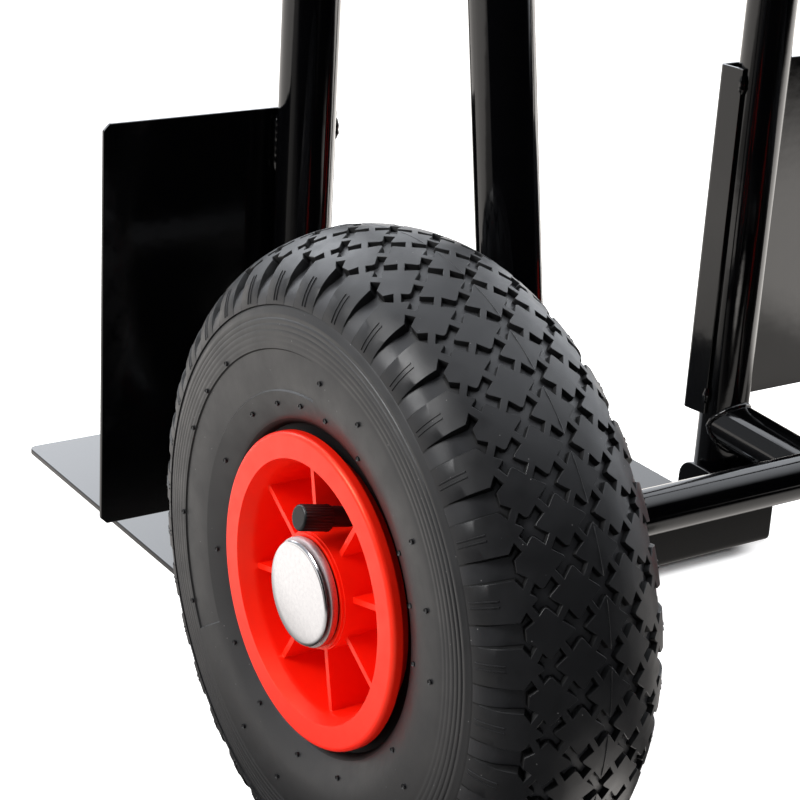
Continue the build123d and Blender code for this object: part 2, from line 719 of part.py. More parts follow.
def sides(name, piece):
    """The left and right node of a piece that is modelled on the left."""
    return {"left_" + name: piece, "right_" + name: mirror(piece, about=Plane.YZ)}


def with_mirror(pieces):
    """One group of the left pieces and their mirror images."""
    return solids(list(pieces) + [mirror(piece, about=Plane.YZ) for piece in pieces])


WHEEL_PIECES = {
    "tyre": tyre,
    "inner_tube": inner_tube,
    "outer_rim": outer_rim,
    "inner_rim": inner_rim,
    "rim_screws": rim_screws,
    "bearing_outer_rings": bearing_outer_rings,
    "bearing_inner_rings": bearing_inner_rings,
    "bearing_balls": bearing_balls,
    "bearing_seals": bearing_seals,
    "valve_stem": valve_stem,
    "valve_cap": valve_cap,
    "axle_shim": axle_shim,
    "cap_retainer": cap_retainer,
    "axle_cap": axle_cap,
    "axle_spacer": axle_spacer,
}

FRAME_PIECES = {
    "upright": upright,
    "rear_stay": rear_stay,
    "handle_grip": handle_grip,
    "wheel_guard": wheel_guard,
    "hinge_sleeve": hinge_sleeve,
    "hinge_cheeks": hinge_cheeks,
}


def build():
    """All nodes of the truck by name."""
    nodes = {"axle": axle(), "toe_plate": toe_plate()}
    for name, make in WHEEL_PIECES.items():
        nodes.update(sides(name, WHEEL_CENTRE * make()))
    for name, make in FRAME_PIECES.items():
        nodes.update(sides(name, make()))
    for i, name in enumerate(CROSS_BAR_NAMES):
        nodes[name] = cross_bar(FIRST_CROSS_BAR_HEIGHT + CROSS_BAR_PITCH * i)
    nodes["stay_plugs"] = with_mirror([stay_plug()])
    nodes["hinge_bolts"] = with_mirror([hinge_bolt()])
    nodes["hinge_nuts"] = with_mirror([hinge_nut()])
    nodes["hinge_washers"] = with_mirror(hinge_washers())
    return nodes


def main():
    """Write one STEP file for each node."""
    os.makedirs("parts", exist_ok=True)
    for name, piece in build().items():
        export_step(piece, f"parts/{name}.step")


if __name__ == "__main__":
    main()
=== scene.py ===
"""Looks of the folding hand truck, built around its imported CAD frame.

Every piece is in metres in the frame's own axes: +Z up, the toe plate towards -Y and the
wheels towards +Y. Sizes in the classes are in millimetres and degrees.
"""
import json
import logging
import math
from dataclasses import dataclass
from enum import Enum
from random import Random
from typing import Callable, Sequence

import bpy
from mathutils import Matrix, Vector

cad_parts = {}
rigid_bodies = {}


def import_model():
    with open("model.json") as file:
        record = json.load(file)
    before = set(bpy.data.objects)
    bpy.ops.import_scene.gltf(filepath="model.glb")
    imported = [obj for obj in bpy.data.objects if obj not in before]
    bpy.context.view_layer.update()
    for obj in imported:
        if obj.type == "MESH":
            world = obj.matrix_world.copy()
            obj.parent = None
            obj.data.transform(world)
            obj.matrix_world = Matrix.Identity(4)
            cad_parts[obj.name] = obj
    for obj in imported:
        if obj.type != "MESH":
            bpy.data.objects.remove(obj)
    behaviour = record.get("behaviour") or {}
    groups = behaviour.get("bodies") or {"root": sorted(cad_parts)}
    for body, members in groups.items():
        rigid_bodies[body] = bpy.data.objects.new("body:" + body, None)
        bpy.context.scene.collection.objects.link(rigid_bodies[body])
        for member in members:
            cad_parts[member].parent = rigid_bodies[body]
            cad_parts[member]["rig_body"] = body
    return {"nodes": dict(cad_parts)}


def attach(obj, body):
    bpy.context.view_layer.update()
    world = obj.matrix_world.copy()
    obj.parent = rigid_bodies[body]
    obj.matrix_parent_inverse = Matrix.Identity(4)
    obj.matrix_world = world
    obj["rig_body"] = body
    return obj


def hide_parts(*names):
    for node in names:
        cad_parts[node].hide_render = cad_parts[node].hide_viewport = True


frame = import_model()
log = logging.getLogger("hand_truck")

MM = 0.001
MERGE_DISTANCE = 2e-6
# Degrees: CAD faces within the first count as one, and edges beyond the others stay sharp
FLAT_ANGLE = 0.2
SHARP_ANGLE = 35.0
TURNED_ANGLE = 40.0
EDGE_SEGMENTS = 2
# Two places of a flat cell are the same within this many millimetres
NEAR = 0.01
# A face looks along an axis when more than this share of its normal lies on it
FACING = 0.9
WHEEL_CENTRE = Vector((202.5, 156.5, 130.0))
# The mirror between the truck's two sides, and the turn from upright to along +X
MIRRORED = Matrix.Scale(-1, 4, (1, 0, 0))
OUTWARD = Matrix.Rotation(math.radians(90.0), 4, "Y")

Point2 = tuple[float, float]
Point3 = tuple[float, float, float]
Colour = tuple[float, float, float, float]
Piece = bpy.types.Object
Face = bpy.types.MeshPolygon
Tree = bpy.types.NodeTree
Node = bpy.types.Node
Socket = bpy.types.NodeSocket
Light = Socket | float


class Side(Enum):
    """The two sides of the truck, with the sign of X on each."""

    LEFT = 1
    RIGHT = -1

    @property
    def label(self) -> str:
        """Start of the side's node names."""
        return self.name.lower()

    @property
    def wheel_body(self) -> str:
        """Body that the side's wheel turns with."""
        return f"{self.label}_wheel"


class Slot(Enum):
    """Material slots of the record."""

    FRAME = "frame_paint"
    GRIP = "grip_vinyl"
    PLUG = "plug_plastic"
    CAP = "cap_chrome"
    ZINC = "zinc_steel"
    BEARING = "bearing_steel"
    SEAL = "seal_rubber"
    TYRE = "tyre_rubber"
    RIM = "rim_red"
    VALVE = "valve_rubber"


def linear(code: str) -> Colour:
    """Turns an sRGB hex value into a linear colour.

    Args:
        code: Six hex digits after a hash.

    Returns:
        Linear red, green, blue and full alpha.
    """
    parts = [int(code[i:i + 2], 16) / 255 for i in (1, 3, 5)]
    red, green, blue = (p / 12.92 if p <= 0.04045 else ((p + 0.055) / 1.055) ** 2.4 for p in parts)
    return red, green, blue, 1.0


def add_node(
    tree: Tree, kind: str, sockets: dict[str | int, object] | None = None, **settings: object
) -> Node:
    """Adds a shader node with its settings and links.

    Args:
        tree: Tree that the node goes into.
        kind: Node type, such as ShaderNodeTexNoise.
        sockets: Inputs by name or number, each with a value or the output it is linked to.
        settings: Properties of the node itself.

    Returns:
        The new node.
    """
    node = tree.nodes.new(kind)
    for name, value in settings.items():
        setattr(node, name, value)
    for name, value in (sockets or {}).items():
        if isinstance(value, Socket):
            tree.links.new(value, node.inputs[name])
        else:
            node.inputs[name].default_value = value
    return node


def per_metre(size: float) -> float:
    """Scale of a texture whose features are this many millimetres wide."""
    return 1.0 / (size * MM)


class Finish:
    """A named surface. Each kind sets its shader's sockets and patterns in shade()."""

    name: str

    def material(self) -> bpy.types.Material:
        """Makes the material once and gives it each time.

        Returns:
            The finish's material.
        """
        known = bpy.data.materials.get(self.name)
        if known:
            return known
        made = bpy.data.materials.new(self.name)
        made.use_nodes = True
        tree = made.node_tree
        tree.nodes.clear()
        shader = add_node(tree, "ShaderNodeBsdfPrincipled")
        add_node(tree, "ShaderNodeOutputMaterial", {"Surface": shader.outputs[0]})
        self.shade(tree, shader, add_node(tree, "ShaderNodeTexCoord").outputs["Object"])
        return made

    def shade(self, tree: Tree, shader: Node, place: Socket) -> None:
        """Sets the shader up.

        Args:
            tree: The material's tree.
            shader: Its principled shader.
            place: Object coordinates, in metres.
        """
        raise NotImplementedError

    def coat(
        self,
        tree: Tree,
        shader: Node,
        pattern: Socket,
        colours: tuple[str, str],
        gloss: tuple[Point2, Point2],
        relief: Sequence[tuple[Socket, float]],
    ) -> Socket:
        """Gives the shader two tones, a spread of gloss and a relief.

        Args:
            tree: The material's tree.
            shader: Its principled shader.
            pattern: Pattern from 0 to 1 that the tones and the gloss follow.
            colours: Tones at the pattern's two ends, as sRGB hex values.
            gloss: Two (pattern, roughness) pairs that the roughness runs between.
            relief: Patterns that raise the surface, the slowest first, each with its height in millimetres.

        Returns:
            The colour, for a finish that lays something over it.
        """
        tone = add_node(
            tree,
            "ShaderNodeMix",
            {"Factor": pattern, 6: linear(colours[0]), 7: linear(colours[1])},
            data_type="RGBA",
        ).outputs[2]
        (low, smoothest), (high, roughest) = gloss
        rough = add_node(
            tree,
            "ShaderNodeMapRange",
            {"Value": pattern, "From Min": low, "From Max": high, "To Min": smoothest, "To Max": roughest},
        )
        below: dict[str | int, object] = {}
        for wave, height in relief:
            sockets = {"Height": wave, "Strength": 1.0, "Distance": height * MM, **below}
            below = {"Normal": add_node(tree, "ShaderNodeBump", sockets).outputs["Normal"]}
        tree.links.new(tone, shader.inputs["Base Color"])
        tree.links.new(rough.outputs["Result"], shader.inputs["Roughness"])
        tree.links.new(below["Normal"], shader.inputs["Normal"])
        return tone


@dataclass(frozen=True)
class BlackEnamel(Finish):
    """Stove enamel, dipped: a deep gloss black whose film is slightly wavy, so reflections wander."""

    name: str = "black_stove_enamel"
    colour: str = "#020203"
    thin_colour: str = "#060607"
    roughness: float = 0.07
    rough_spread: float = 0.06
    ior: float = 1.5
    wave: float = 9.0
    wave_height: float = 0.05
    peel: float = 1.6
    peel_height: float = 0.006
    patch: float = 30.0
    patch_ends: Point2 = (0.35, 0.75)

    def shade(self, tree: Tree, shader: Node, place: Socket) -> None:
        """Adds the film's waves, its orange peel and patches of duller gloss.

        Args:
            tree: The material's tree.
            shader: Its principled shader.
            place: Object coordinates, in metres.
        """
        waves, peel, patches = (
            add_node(
                tree,
                "ShaderNodeTexNoise",
                {"Vector": place, "Scale": per_metre(size), "Detail": detail, "Roughness": grit},
            ).outputs["Fac"]
            for size, detail, grit in ((self.wave, 1.0, 0.5), (self.peel, 2.0, 0.5), (self.patch, 4.0, 0.6))
        )
        low, high = self.patch_ends
        self.coat(
            tree,
            shader,
            patches,
            (self.colour, self.thin_colour),
            ((low, self.roughness), (high, self.roughness + self.rough_spread)),
            ((waves, self.wave_height), (peel, self.peel_height)),
        )
        shader.inputs["IOR"].default_value = self.ior


@dataclass(frozen=True)
class TyreRubber(Finish):
    """Carbon-black rubber, moulded: satin dark grey with a fine grain and stray pale dust."""

    name: str = "moulded_tyre_rubber"
    colour: str = "#161617"
    pale_colour: str = "#1f1f21"
    dust_colour: str = "#8c8a88"
    roughness: float = 0.4
    smoother: float = 0.06
    rougher: float = 0.1
    ior: float = 1.5
    bloom: float = 14.0
    bloom_ends: Point2 = (0.3, 0.7)
    speck_pitch: float = 5.0
    speck_edge: Point2 = (0.05, 0.03)
    speck_cover: float = 0.5
    # The mould's grain is finer than this, and is drawn coarser so that it shows
    grain: float = 0.55
    grain_height: float = 0.02

    def shade(self, tree: Tree, shader: Node, place: Socket) -> None:
        """Adds the grain of the mould, cloudy bloom and specks of dust.

        Args:
            tree: The material's tree.
            shader: Its principled shader.
            place: Object coordinates, in metres.
        """
        grain, bloom = (
            add_node(
                tree,
                "ShaderNodeTexNoise",
                {"Vector": place, "Scale": per_metre(size), "Detail": detail, "Roughness": grit},
            ).outputs["Fac"]
            for size, detail, grit in ((self.grain, 3.0, 0.5), (self.bloom, 5.0, 0.65))
        )
        low, high = self.bloom_ends
        rubber = self.coat(
            tree,
            shader,
            bloom,
            (self.colour, self.pale_colour),
            ((low, self.roughness - self.smoother), (high, self.roughness + self.rougher)),
            [(grain, self.grain_height)],
        )
        cells = add_node(
            tree,
            "ShaderNodeTexVoronoi",
            {"Vector": place, "Scale": per_metre(self.speck_pitch), "Randomness": 1.0},
        )
        rim, core = self.speck_edge
        speck = add_node(
            tree,
            "ShaderNodeMapRange",
            {
                "Value": cells.outputs["Distance"],
                "From Min": rim,
                "From Max": core,
                "To Min": 0.0,
                "To Max": self.speck_cover,
            },
        )
        dusty = add_node(
            tree,
            "ShaderNodeMix",
            {"Factor": speck.outputs["Result"], 6: rubber, 7: linear(self.dust_colour)},
            data_type="RGBA",
        )
        tree.links.new(dusty.outputs[2], shader.inputs["Base Color"])
        shader.inputs["IOR"].default_value = self.ior


@dataclass(frozen=True)
class MouldedPlastic(Finish):
    """Injection-moulded plastic: even colour through the wall, a soft gloss and a faint flow texture."""

    name: str
    colour: str
    deep_colour: str
    roughness: float
    rough_spread: float = 0.05
    ior: float = 1.49
    glow: float = 0.0
    glow_depth: float = 1.5
    glow_reach: Point3 = (1.0, 0.25, 0.15)
    shine: Colour = (1.0, 1.0, 1.0, 1.0)
    flow: float = 6.0
    flow_ends: Point2 = (0.3, 0.7)
    flow_height: float = 0.015

    def shade(self, tree: Tree, shader: Node, place: Socket) -> None:
        """Adds slow flow marks and a fine skin, and lets light into the wall where it glows.

        Args:
            tree: The material's tree.
            shader: Its principled shader.
            place: Object coordinates, in metres.
        """
        flow = add_node(
            tree, "ShaderNodeTexNoise", {"Vector": place, "Scale": per_metre(self.flow), "Detail": 3.0}
        ).outputs["Fac"]
        low, high = self.flow_ends
        self.coat(
            tree,
            shader,
            flow,
            (self.colour, self.deep_colour),
            ((low, self.roughness - self.rough_spread), (high, self.roughness + self.rough_spread)),
            [(flow, self.flow_height)],
        )
        for socket, value in (
            ("IOR", self.ior),
            ("Specular Tint", self.shine),
            ("Subsurface Weight", self.glow),
            ("Subsurface Radius", self.glow_reach),
            ("Subsurface Scale", self.glow_depth * MM),
        ):
            shader.inputs[socket].default_value = value


@dataclass(frozen=True)
class PlatedSteel(Finish):
    """Plated steel: a bright metal with fine marks left by the barrel or the press."""

    name: str
    colour: str
    dull_colour: str
    roughness: float
    rough_spread: float
    mark: float
    mark_height: float
    mark_ends: Point2 = (0.35, 0.75)

    def shade(self, tree: Tree, shader: Node, place: Socket) -> None:
        """Adds the plating's marks and its duller patches.

        Args:
            tree: The material's tree.
            shader: Its principled shader.
            place: Object coordinates, in metres.
        """
        marks = add_node(
            tree, "ShaderNodeTexNoise", {"Vector": place, "Scale": per_metre(self.mark), "Detail": 4.0}
        ).outputs["Fac"]
        low, high = self.mark_ends
        self.coat(
            tree,
            shader,
            marks,
            (self.colour, self.dull_colour),
            ((low, self.roughness), (high, self.roughness + self.rough_spread)),
            [(marks, self.mark_height)],
        )
        shader.inputs["Metallic"].default_value = 1.0


# Dipped paint on the tubes: long, wet-looking highlights that wander a little
ENAMEL = BlackEnamel()
# The same paint on flat sheet lies flatter and mirrors the floor almost unbroken
PLATE_ENAMEL = BlackEnamel("black_plate_enamel", roughness=0.03, rough_spread=0.03, wave_height=0.01)
# Over a weld the paint is lumpier, which breaks its highlights up
WELD_ENAMEL = BlackEnamel("black_weld_enamel", roughness=0.1, peel_height=0.012)
# Tops of the tread: satin charcoal
RUBBER = TyreRubber(ior=1.43)
# Sidewall: the same rubber with a little more shine
SIDE_RUBBER = TyreRubber("sidewall_rubber", ior=1.56)
# Painted shade: near-black rubber on the walls and corners of the pockets, the panel's inner step and the
# wall by the rim, where shade falls
SHADE_RUBBER = TyreRubber("unworn_pocket_rubber", "#060607", "#0b0b0c", "#2a2a2a", roughness=0.6)
# Painted light: the pockets' floors are painted paler so that they look as lit as the tops, though the
# pockets shade them; bloom and dust as on the rest
PAINTED_LIGHT_RUBBER = TyreRubber("bloomed_pocket_rubber", "#1d1d1f", "#29292b", roughness=0.42)
TREAD_FINISHES = (RUBBER, SHADE_RUBBER, PAINTED_LIGHT_RUBBER, SIDE_RUBBER)
# Rim: a hot red that light enters a little way, with an orange sheen
RIM_PLASTIC = MouldedPlastic(
    "red_polypropylene", "#fb200a", "#f41608", 0.36, glow=0.22, shine=(1.0, 0.9, 0.5, 1.0)
)
# Valve cap: hard satin black
VALVE_PLASTIC = MouldedPlastic("black_nylon", "#08080a", "#0e0e10", 0.4, flow=1.2)
# Plugs in the stays: dull, waxy black
PLUG_PLASTIC = MouldedPlastic("black_polyethylene", "#17171a", "#202023", 0.5)
# Grips: soft and matt, with a grainy skin
GRIP_VINYL = MouldedPlastic("soft_black_vinyl", "#151517", "#1d1d20", 0.58, flow=1.0, flow_height=0.03)
# Bearing seals: matt black
SEAL_RUBBER = MouldedPlastic("black_seal_rubber", "#121214", "#1b1b1d", 0.55)
# Hub cap: a clear mirror with faint polishing marks
CHROME = PlatedSteel("bright_chrome", "#e4e4e6", "#d2d2d6", 0.08, 0.06, 1.5, 0.002)
# Retainer under the cap: pale, blurred metal
RETAINER_STEEL = PlatedSteel("spring_steel", "#e6dcdc", "#c8babb", 0.48, 0.2, 0.8, 0.02)
# Bolts, nuts and washers: soft grey-blue shine
ZINC = PlatedSteel("zinc_plated_steel", "#c2c5c9", "#a3a7ac", 0.24, 0.16, 1.2, 0.006)
# Bearing rings and balls: bright and even
BEARING_STEEL = PlatedSteel("ground_steel", "#c8c9cb", "#b4b6b8", 0.16, 0.08, 0.6, 0.002)


def select_only(*pieces: Piece) -> None:
    """Selects some pieces alone, the first as the active one.

    Args:
        pieces: Pieces to select.
    """
    bpy.ops.object.select_all(action="DESELECT")
    for piece in pieces:
        piece.select_set(True)
    bpy.context.view_layer.objects.active = pieces[0]


def editing(piece: Piece, on: bool) -> None:
    """Goes into or out of edit mode.

    Args:
        piece: Piece to edit.
        on: True to start, and False to stop.
    """
    if on:
        select_only(piece)
    bpy.ops.object.mode_set(mode="EDIT" if on else "OBJECT")


def pick_faces(piece: Piece, test: Callable[[Face], bool]) -> None:
    """Selects some faces, and nothing else, and starts editing them.

    Args:
        piece: Piece to edit.
        test: Tells which faces to select.
    """
    for part in (piece.data.vertices, piece.data.edges):
        for one in part:
            one.select = False
    for face in piece.data.polygons:
        face.select = test(face)
    editing(piece, True)
    bpy.ops.mesh.select_mode(type="FACE")


def pick_vertices(piece: Piece, test: Callable[[Vector], bool]) -> None:
    """Selects some vertices, and nothing else, and starts editing them.

    Args:
        piece: Piece to edit.
        test: Tells by their places which vertices to select.
    """
    for part in (piece.data.polygons, piece.data.edges):
        for one in part:
            one.select = False
    for vertex in piece.data.vertices:
        vertex.select = test(vertex.co)
    editing(piece, True)
    bpy.ops.mesh.select_mode(type="VERT")


def is_near(place: Vector, others: Sequence[Vector], reach: float = NEAR) -> bool:
    """Tells whether a place is within reach of any of the others."""
    return any((place - other).length < reach for other in others)


def apply_modifiers(piece: Piece) -> None:
    """Applies all modifiers of a piece, in order.

    Args:
        piece: Piece with modifiers.
    """
    select_only(piece)
    for modifier in list(piece.modifiers):
        bpy.ops.object.modifier_apply(modifier=modifier.name)


def smooth(piece: Piece, angle: float = SHARP_ANGLE) -> None:
    """Smooths the faces that meet at less than an angle."""
    select_only(piece)
    bpy.ops.object.shade_smooth_by_angle(angle=math.radians(angle))


def merge(piece: Piece, outside: bool) -> None:
    """Merges double vertices and drops loose ones.

    Args:
        piece: Piece to clean.
        outside: True to turn all faces outwards as well.
    """
    editing(piece, True)
    bpy.ops.mesh.select_all(action="SELECT")
    bpy.ops.mesh.remove_doubles(threshold=MERGE_DISTANCE)
    bpy.ops.mesh.delete_loose()
    if outside:
        bpy.ops.mesh.select_all(action="SELECT")
        bpy.ops.mesh.normals_make_consistent(inside=False)
    editing(piece, False)


def join(name: str, pieces: Sequence[Piece]) -> Piece:
    """Joins pieces into the first one.

    Args:
        name: Name of what they become.
        pieces: Pieces to join.

    Returns:
        The first piece, which now holds them all.
    """
    select_only(*pieces)
    if len(pieces) > 1:
        bpy.ops.object.join()
    pieces[0].name = name
    pieces[0].data.name = name
    return pieces[0]


def copy_of(piece: Piece, name: str, matrix: Matrix) -> Piece:
    """Copies a piece, with a mesh of its own, and moves the copy's mesh.

    Args:
        piece: Piece to copy.
        name: The copy's name.
        matrix: Move, turn or mirror that the mesh gets.

    Returns:
        The copy, at the origin.
    """
    made = piece.copy()
    made.data = piece.data.copy()
    made.name = made.data.name = name
    bpy.context.scene.collection.objects.link(made)
    made.data.transform(matrix)
    if matrix.determinant() < 0:
        made.data.flip_normals()
    return made


def dress(piece: Piece, finish: Finish, body: str, nodes: Sequence[str] = ()) -> None:
    """Gives a piece its finish and its body, and hides the nodes that it stands for.

    Args:
        piece: Finished mesh at the origin.
        finish: Surface of the piece.
        body: CAD body that it moves with.
        nodes: CAD nodes that it replaces.
    """
    piece.data.materials.clear()
    piece.data.materials.append(finish.material())
    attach(piece, body)
    if nodes:
        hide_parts(*nodes)
    log.info("%s rides on %s, %d faces", piece.name, body, len(piece.data.polygons))


def turned(name: str, outline: Sequence[Point2], steps: int) -> Piece:
    """Turns a closed half section about X, as on a lathe.

    Args:
        name: The piece's name.
        outline: Corners of the section as (station, radius) in millimetres.
        steps: Facets round the piece.

    Returns:
        The turned piece about the X axis, in metres.
    """
    bpy.ops.object.select_all(action="DESELECT")
    bpy.ops.mesh.primitive_circle_add(vertices=len(outline), radius=1.0)
    piece = bpy.context.active_object
    piece.name = piece.data.name = name
    for vertex, (station, radius) in zip(piece.data.vertices, outline):
        vertex.co = (station * MM, radius * MM, 0.0)
    editing(piece, True)
    bpy.ops.mesh.select_all(action="SELECT")
    bpy.ops.mesh.spin(steps=steps, angle=math.tau, center=(0, 0, 0), axis=(1, 0, 0))
    editing(piece, False)
    merge(piece, outside=True)
    return piece


def carried_over(node: str, name: str, edge: float) -> Piece:
    """Copies a CAD node's mesh, merges it and softens its edges.

    Args:
        node: CAD node.
        name: Name of the copy.
        edge: Width of the rounded edges in millimetres.

    Returns:
        The copy, smooth shaded.
    """
    piece = bpy.data.objects.new(name, frame["nodes"][node].data.copy())
    bpy.context.scene.collection.objects.link(piece)
    merge(piece, outside=False)
    editing(piece, True)
    bpy.ops.mesh.select_all(action="SELECT")
    bpy.ops.mesh.dissolve_limited(angle_limit=math.radians(FLAT_ANGLE))
    editing(piece, False)
    if edge:
        bevel = piece.modifiers.new("edges", "BEVEL")
        bevel.width = edge * MM
        bevel.segments = EDGE_SEGMENTS
        bevel.limit_method = "ANGLE"
        bevel.angle_limit = math.radians(SHARP_ANGLE)
        bevel.use_clamp_overlap = True
    smooth(piece)
    weighted = piece.modifiers.new("normals", "WEIGHTED_NORMAL")
    weighted.keep_sharp = True
    apply_modifiers(piece)
    return piece


@dataclass(frozen=True)
class ArmEnds:
    """Corners of a pocket's arm end, near the pocket's middle line and away from it."""

    inner: Point2
    outer: Point2


@dataclass(frozen=True)
class CrossPocket:
    """Outline of a cross-shaped pocket and the diamond of tread that it is sunk into."""

    upper: ArmEnds = ArmEnds((3.4, 5.8), (7.3, 3.3))
    lower: ArmEnds = ArmEnds((3.4, 5.8), (7.3, 3.3))
    side_notch: float = 3.0
    end_notch: float = 1.6
    top: float = 10.5
    bottom: float = 10.5
    block: float = 0.72

    @property
    def notches(self) -> list[Vector]:
        """Tips of the four blocks that reach in between the arms."""
        side, end = self.side_notch, self.end_notch
        return [Vector(place) for place in ((-side, 0, 0), (side, 0, 0), (0, end, 0), (0, -end, 0))]

    def corners(self, half_pitch: float) -> dict[tuple[int, int], Point2]:
        """Places of the inner grid points, by row and column of the cell's grid.

        Args:
            half_pitch: Half of the diamond's length.

        Returns:
            Places in millimetres about the pocket's middle.
        """
        return {
            (2, 2): (-self.side_notch, 0.0),
            (3, 3): (self.side_notch, 0.0),
            (3, 2): (0.0, self.end_notch),
            (2, 3): (0.0, -self.end_notch),
            (4, 2): self.upper.inner,
            (4, 3): self.upper.outer,
            (3, 1): (-self.upper.inner[0], self.upper.inner[1]),
            (2, 1): (-self.upper.outer[0], self.upper.outer[1]),
            (2, 4): (self.lower.inner[0], -self.lower.inner[1]),
            (3, 4): (self.lower.outer[0], -self.lower.outer[1]),
            (1, 3): (-self.lower.inner[0], -self.lower.inner[1]),
            (1, 2): (-self.lower.outer[0], -self.lower.outer[1]),
            (1, 1): (-half_pitch * self.block, 0.0),
            (4, 4): (half_pitch * self.block, 0.0),
            (4, 1): (0.0, self.top * self.block),
            (1, 4): (0.0, -self.bottom * self.block),
        }


@dataclass
class Tyre:
    """Tyre with a lattice of cross-shaped pockets between diamond blocks, and lugs on its shoulders.

    The tread is modelled flat, in millimetres: X along the tread, measured at the crown, Y across
    it and Z out of it. It is then wrapped round the wheel.
    """

    radius: float = 130.0
    pitches: int = 34
    phase: float = 0.4
    row_step: float = 10.5
    half_width: float = 38.14
    base_radius: float = 100.56
    width_power: float = 1.82
    height_power: float = 2.35
    crown_edge: float = 30.0
    shoulder_line: float = 46.4
    lug_foot: float = 27.0
    depth: float = 2.0
    recess: float = 3.7
    recess_power: float = 1.5
    notch_round: float = 0.9
    rim_edge: float = 0.14
    edge_share: float = 0.06
    draft: float = 0.32
    corner: float = 0.5
    recess_margin: float = 0.3
    recess_columns: int = 3
    lug_columns: tuple[float, ...] = (0.0, 2.1, 3.6, 4.7, 9.9)
    lug_rows: tuple[float, ...] = (31.4, 33.0, 34.3, 35.7, 37.2, 40.8, 43.6, 45.8)
    # Points of the lug's two curved lines, and where each meets the next lug
    lug_curves: tuple[tuple[tuple[Point2, ...], float], ...] = (
        (((0.0, 27.1), (2.1, 27.1), (4.4, 24.5), (8.2, 26.4), (10.4, 28.1)), 28.9),
        (((0.0, 28.6), (2.1, 28.6), (3.6, 28.0), (4.7, 28.4), (9.9, 29.7)), 30.0),
    )
    lug_tuck: float = 2.5
    lug_rib_row: int = 4
    lug_rib_height: float = 0.3
    lug_rib_margin: float = 0.7
    lug_rib_draft: float = 0.15
    ridge_width: float = 0.6
    ridge_height: float = 0.2
    ridge_sink: float = 0.05
    ridge_gap: float = 3.1
    ridge_cells: int = 6
    seam: float = 0.001
    sharp_angle: float = 30.0
    # Faces of a diamond's grid that its pocket takes, and how far from their middles new faces still do
    pocket_faces: tuple[int, ...] = (7, 11, 12, 13, 17)
    pocket_reach: float = 1.6
    tip_reach: float = 0.65
    line_shares: tuple[float, ...] = (0.0, 0.14, 0.37, 0.63, 0.86, 1.0)
    shoulder_pocket: CrossPocket = CrossPocket(
        upper=ArmEnds((2.1, 3.9), (5.8, 2.0)), lower=ArmEnds((3.4, 5.5), (6.9, 3.4)), top=6.0
    )
    shoulder_steps: int = 40
    slope_step: float = 0.4

    @property
    def pitch(self) -> float:
        """Length of one pitch of the pattern at the crown."""
        return math.tau * self.radius / self.pitches

    def shoulder_at(self, radius: float) -> float:
        """Station of the rounded shoulder at a radius."""
        share = (radius - self.base_radius) / (self.radius - self.base_radius)
        return self.half_width * (1.0 - share**self.height_power) ** (1.0 / self.width_power)

    def profile(self, across: float) -> Point2:
        """Finds a place on the tread's outer surface.

        Args:
            across: Distance across the tread, signed: the station on the crown, and then the
                length along the shoulder.

        Returns:
            Station from the wheel's middle plane, and radius.
        """
        size = abs(across)
        share = 1.0 - (min(size, self.crown_edge) / self.half_width) ** self.width_power
        radius = self.base_radius + (self.radius - self.base_radius) * share ** (1.0 / self.height_power)
        if size <= self.crown_edge:
            return across, radius
        left = size - self.crown_edge
        step = (radius - self.base_radius) / self.shoulder_steps
        station = self.crown_edge
        while radius - step > self.base_radius:
            next_station = self.shoulder_at(radius - step)
            length = math.hypot(next_station - station, step)
            if length >= left:
                break
            left -= length
            radius -= step
            station = next_station
        share = left / math.hypot(self.shoulder_at(radius - step) - station, step)
        station += share * (self.shoulder_at(radius - step) - station)
        return math.copysign(station, across), radius - share * step

    def wrapped(self, flat: Vector) -> Point3:
        """Takes a point of the flat tread to its place round the wheel's middle.

        Args:
            flat: Point in millimetres.

        Returns:
            Point in metres, with the wheel's axis on X.
        """
        before = self.profile(flat.y - self.slope_step)
        after = self.profile(flat.y + self.slope_step)
        station, radius = self.profile(flat.y)
        along = Vector((after[0] - before[0], after[1] - before[1])).normalized()
        station -= flat.z * along.y
        radius += flat.z * along.x
        angle = math.radians(self.phase) + flat.x / self.radius
        return station * MM, radius * math.cos(angle) * MM, radius * math.sin(angle) * MM

    def grid(self, name: str, columns: int, rows: int, places: Sequence[Point2]) -> Piece:
        """Adds a flat grid and moves its points, row by row, to their places.

        Args:
            name: Name of the cell.
            columns: Faces along X.
            rows: Faces along Y.
            places: A place for each point.

        Returns:
            The flat cell.
        """
        bpy.ops.object.select_all(action="DESELECT")
        bpy.ops.mesh.primitive_grid_add(x_subdivisions=columns, y_subdivisions=rows, size=1.0)
        piece = bpy.context.active_object
        piece.name = name
        for vertex, (x, y) in zip(piece.data.vertices, places):
            vertex.co = (x, y, 0.0)
        for finish in TREAD_FINISHES:
            piece.data.materials.append(finish.material())
        return piece

    def round_tips(self, piece: Piece, tips: Sequence[Vector]) -> None:
        """Rounds the tips of the blocks.

        Args:
            piece: Flat cell.
            tips: Places of the tips.
        """
        pick_vertices(piece, lambda place: is_near(place, tips))
        bpy.ops.mesh.bevel(
            offset=self.notch_round, offset_type="OFFSET", segments=EDGE_SEGMENTS, affect="VERTICES"
        )
        editing(piece, False)

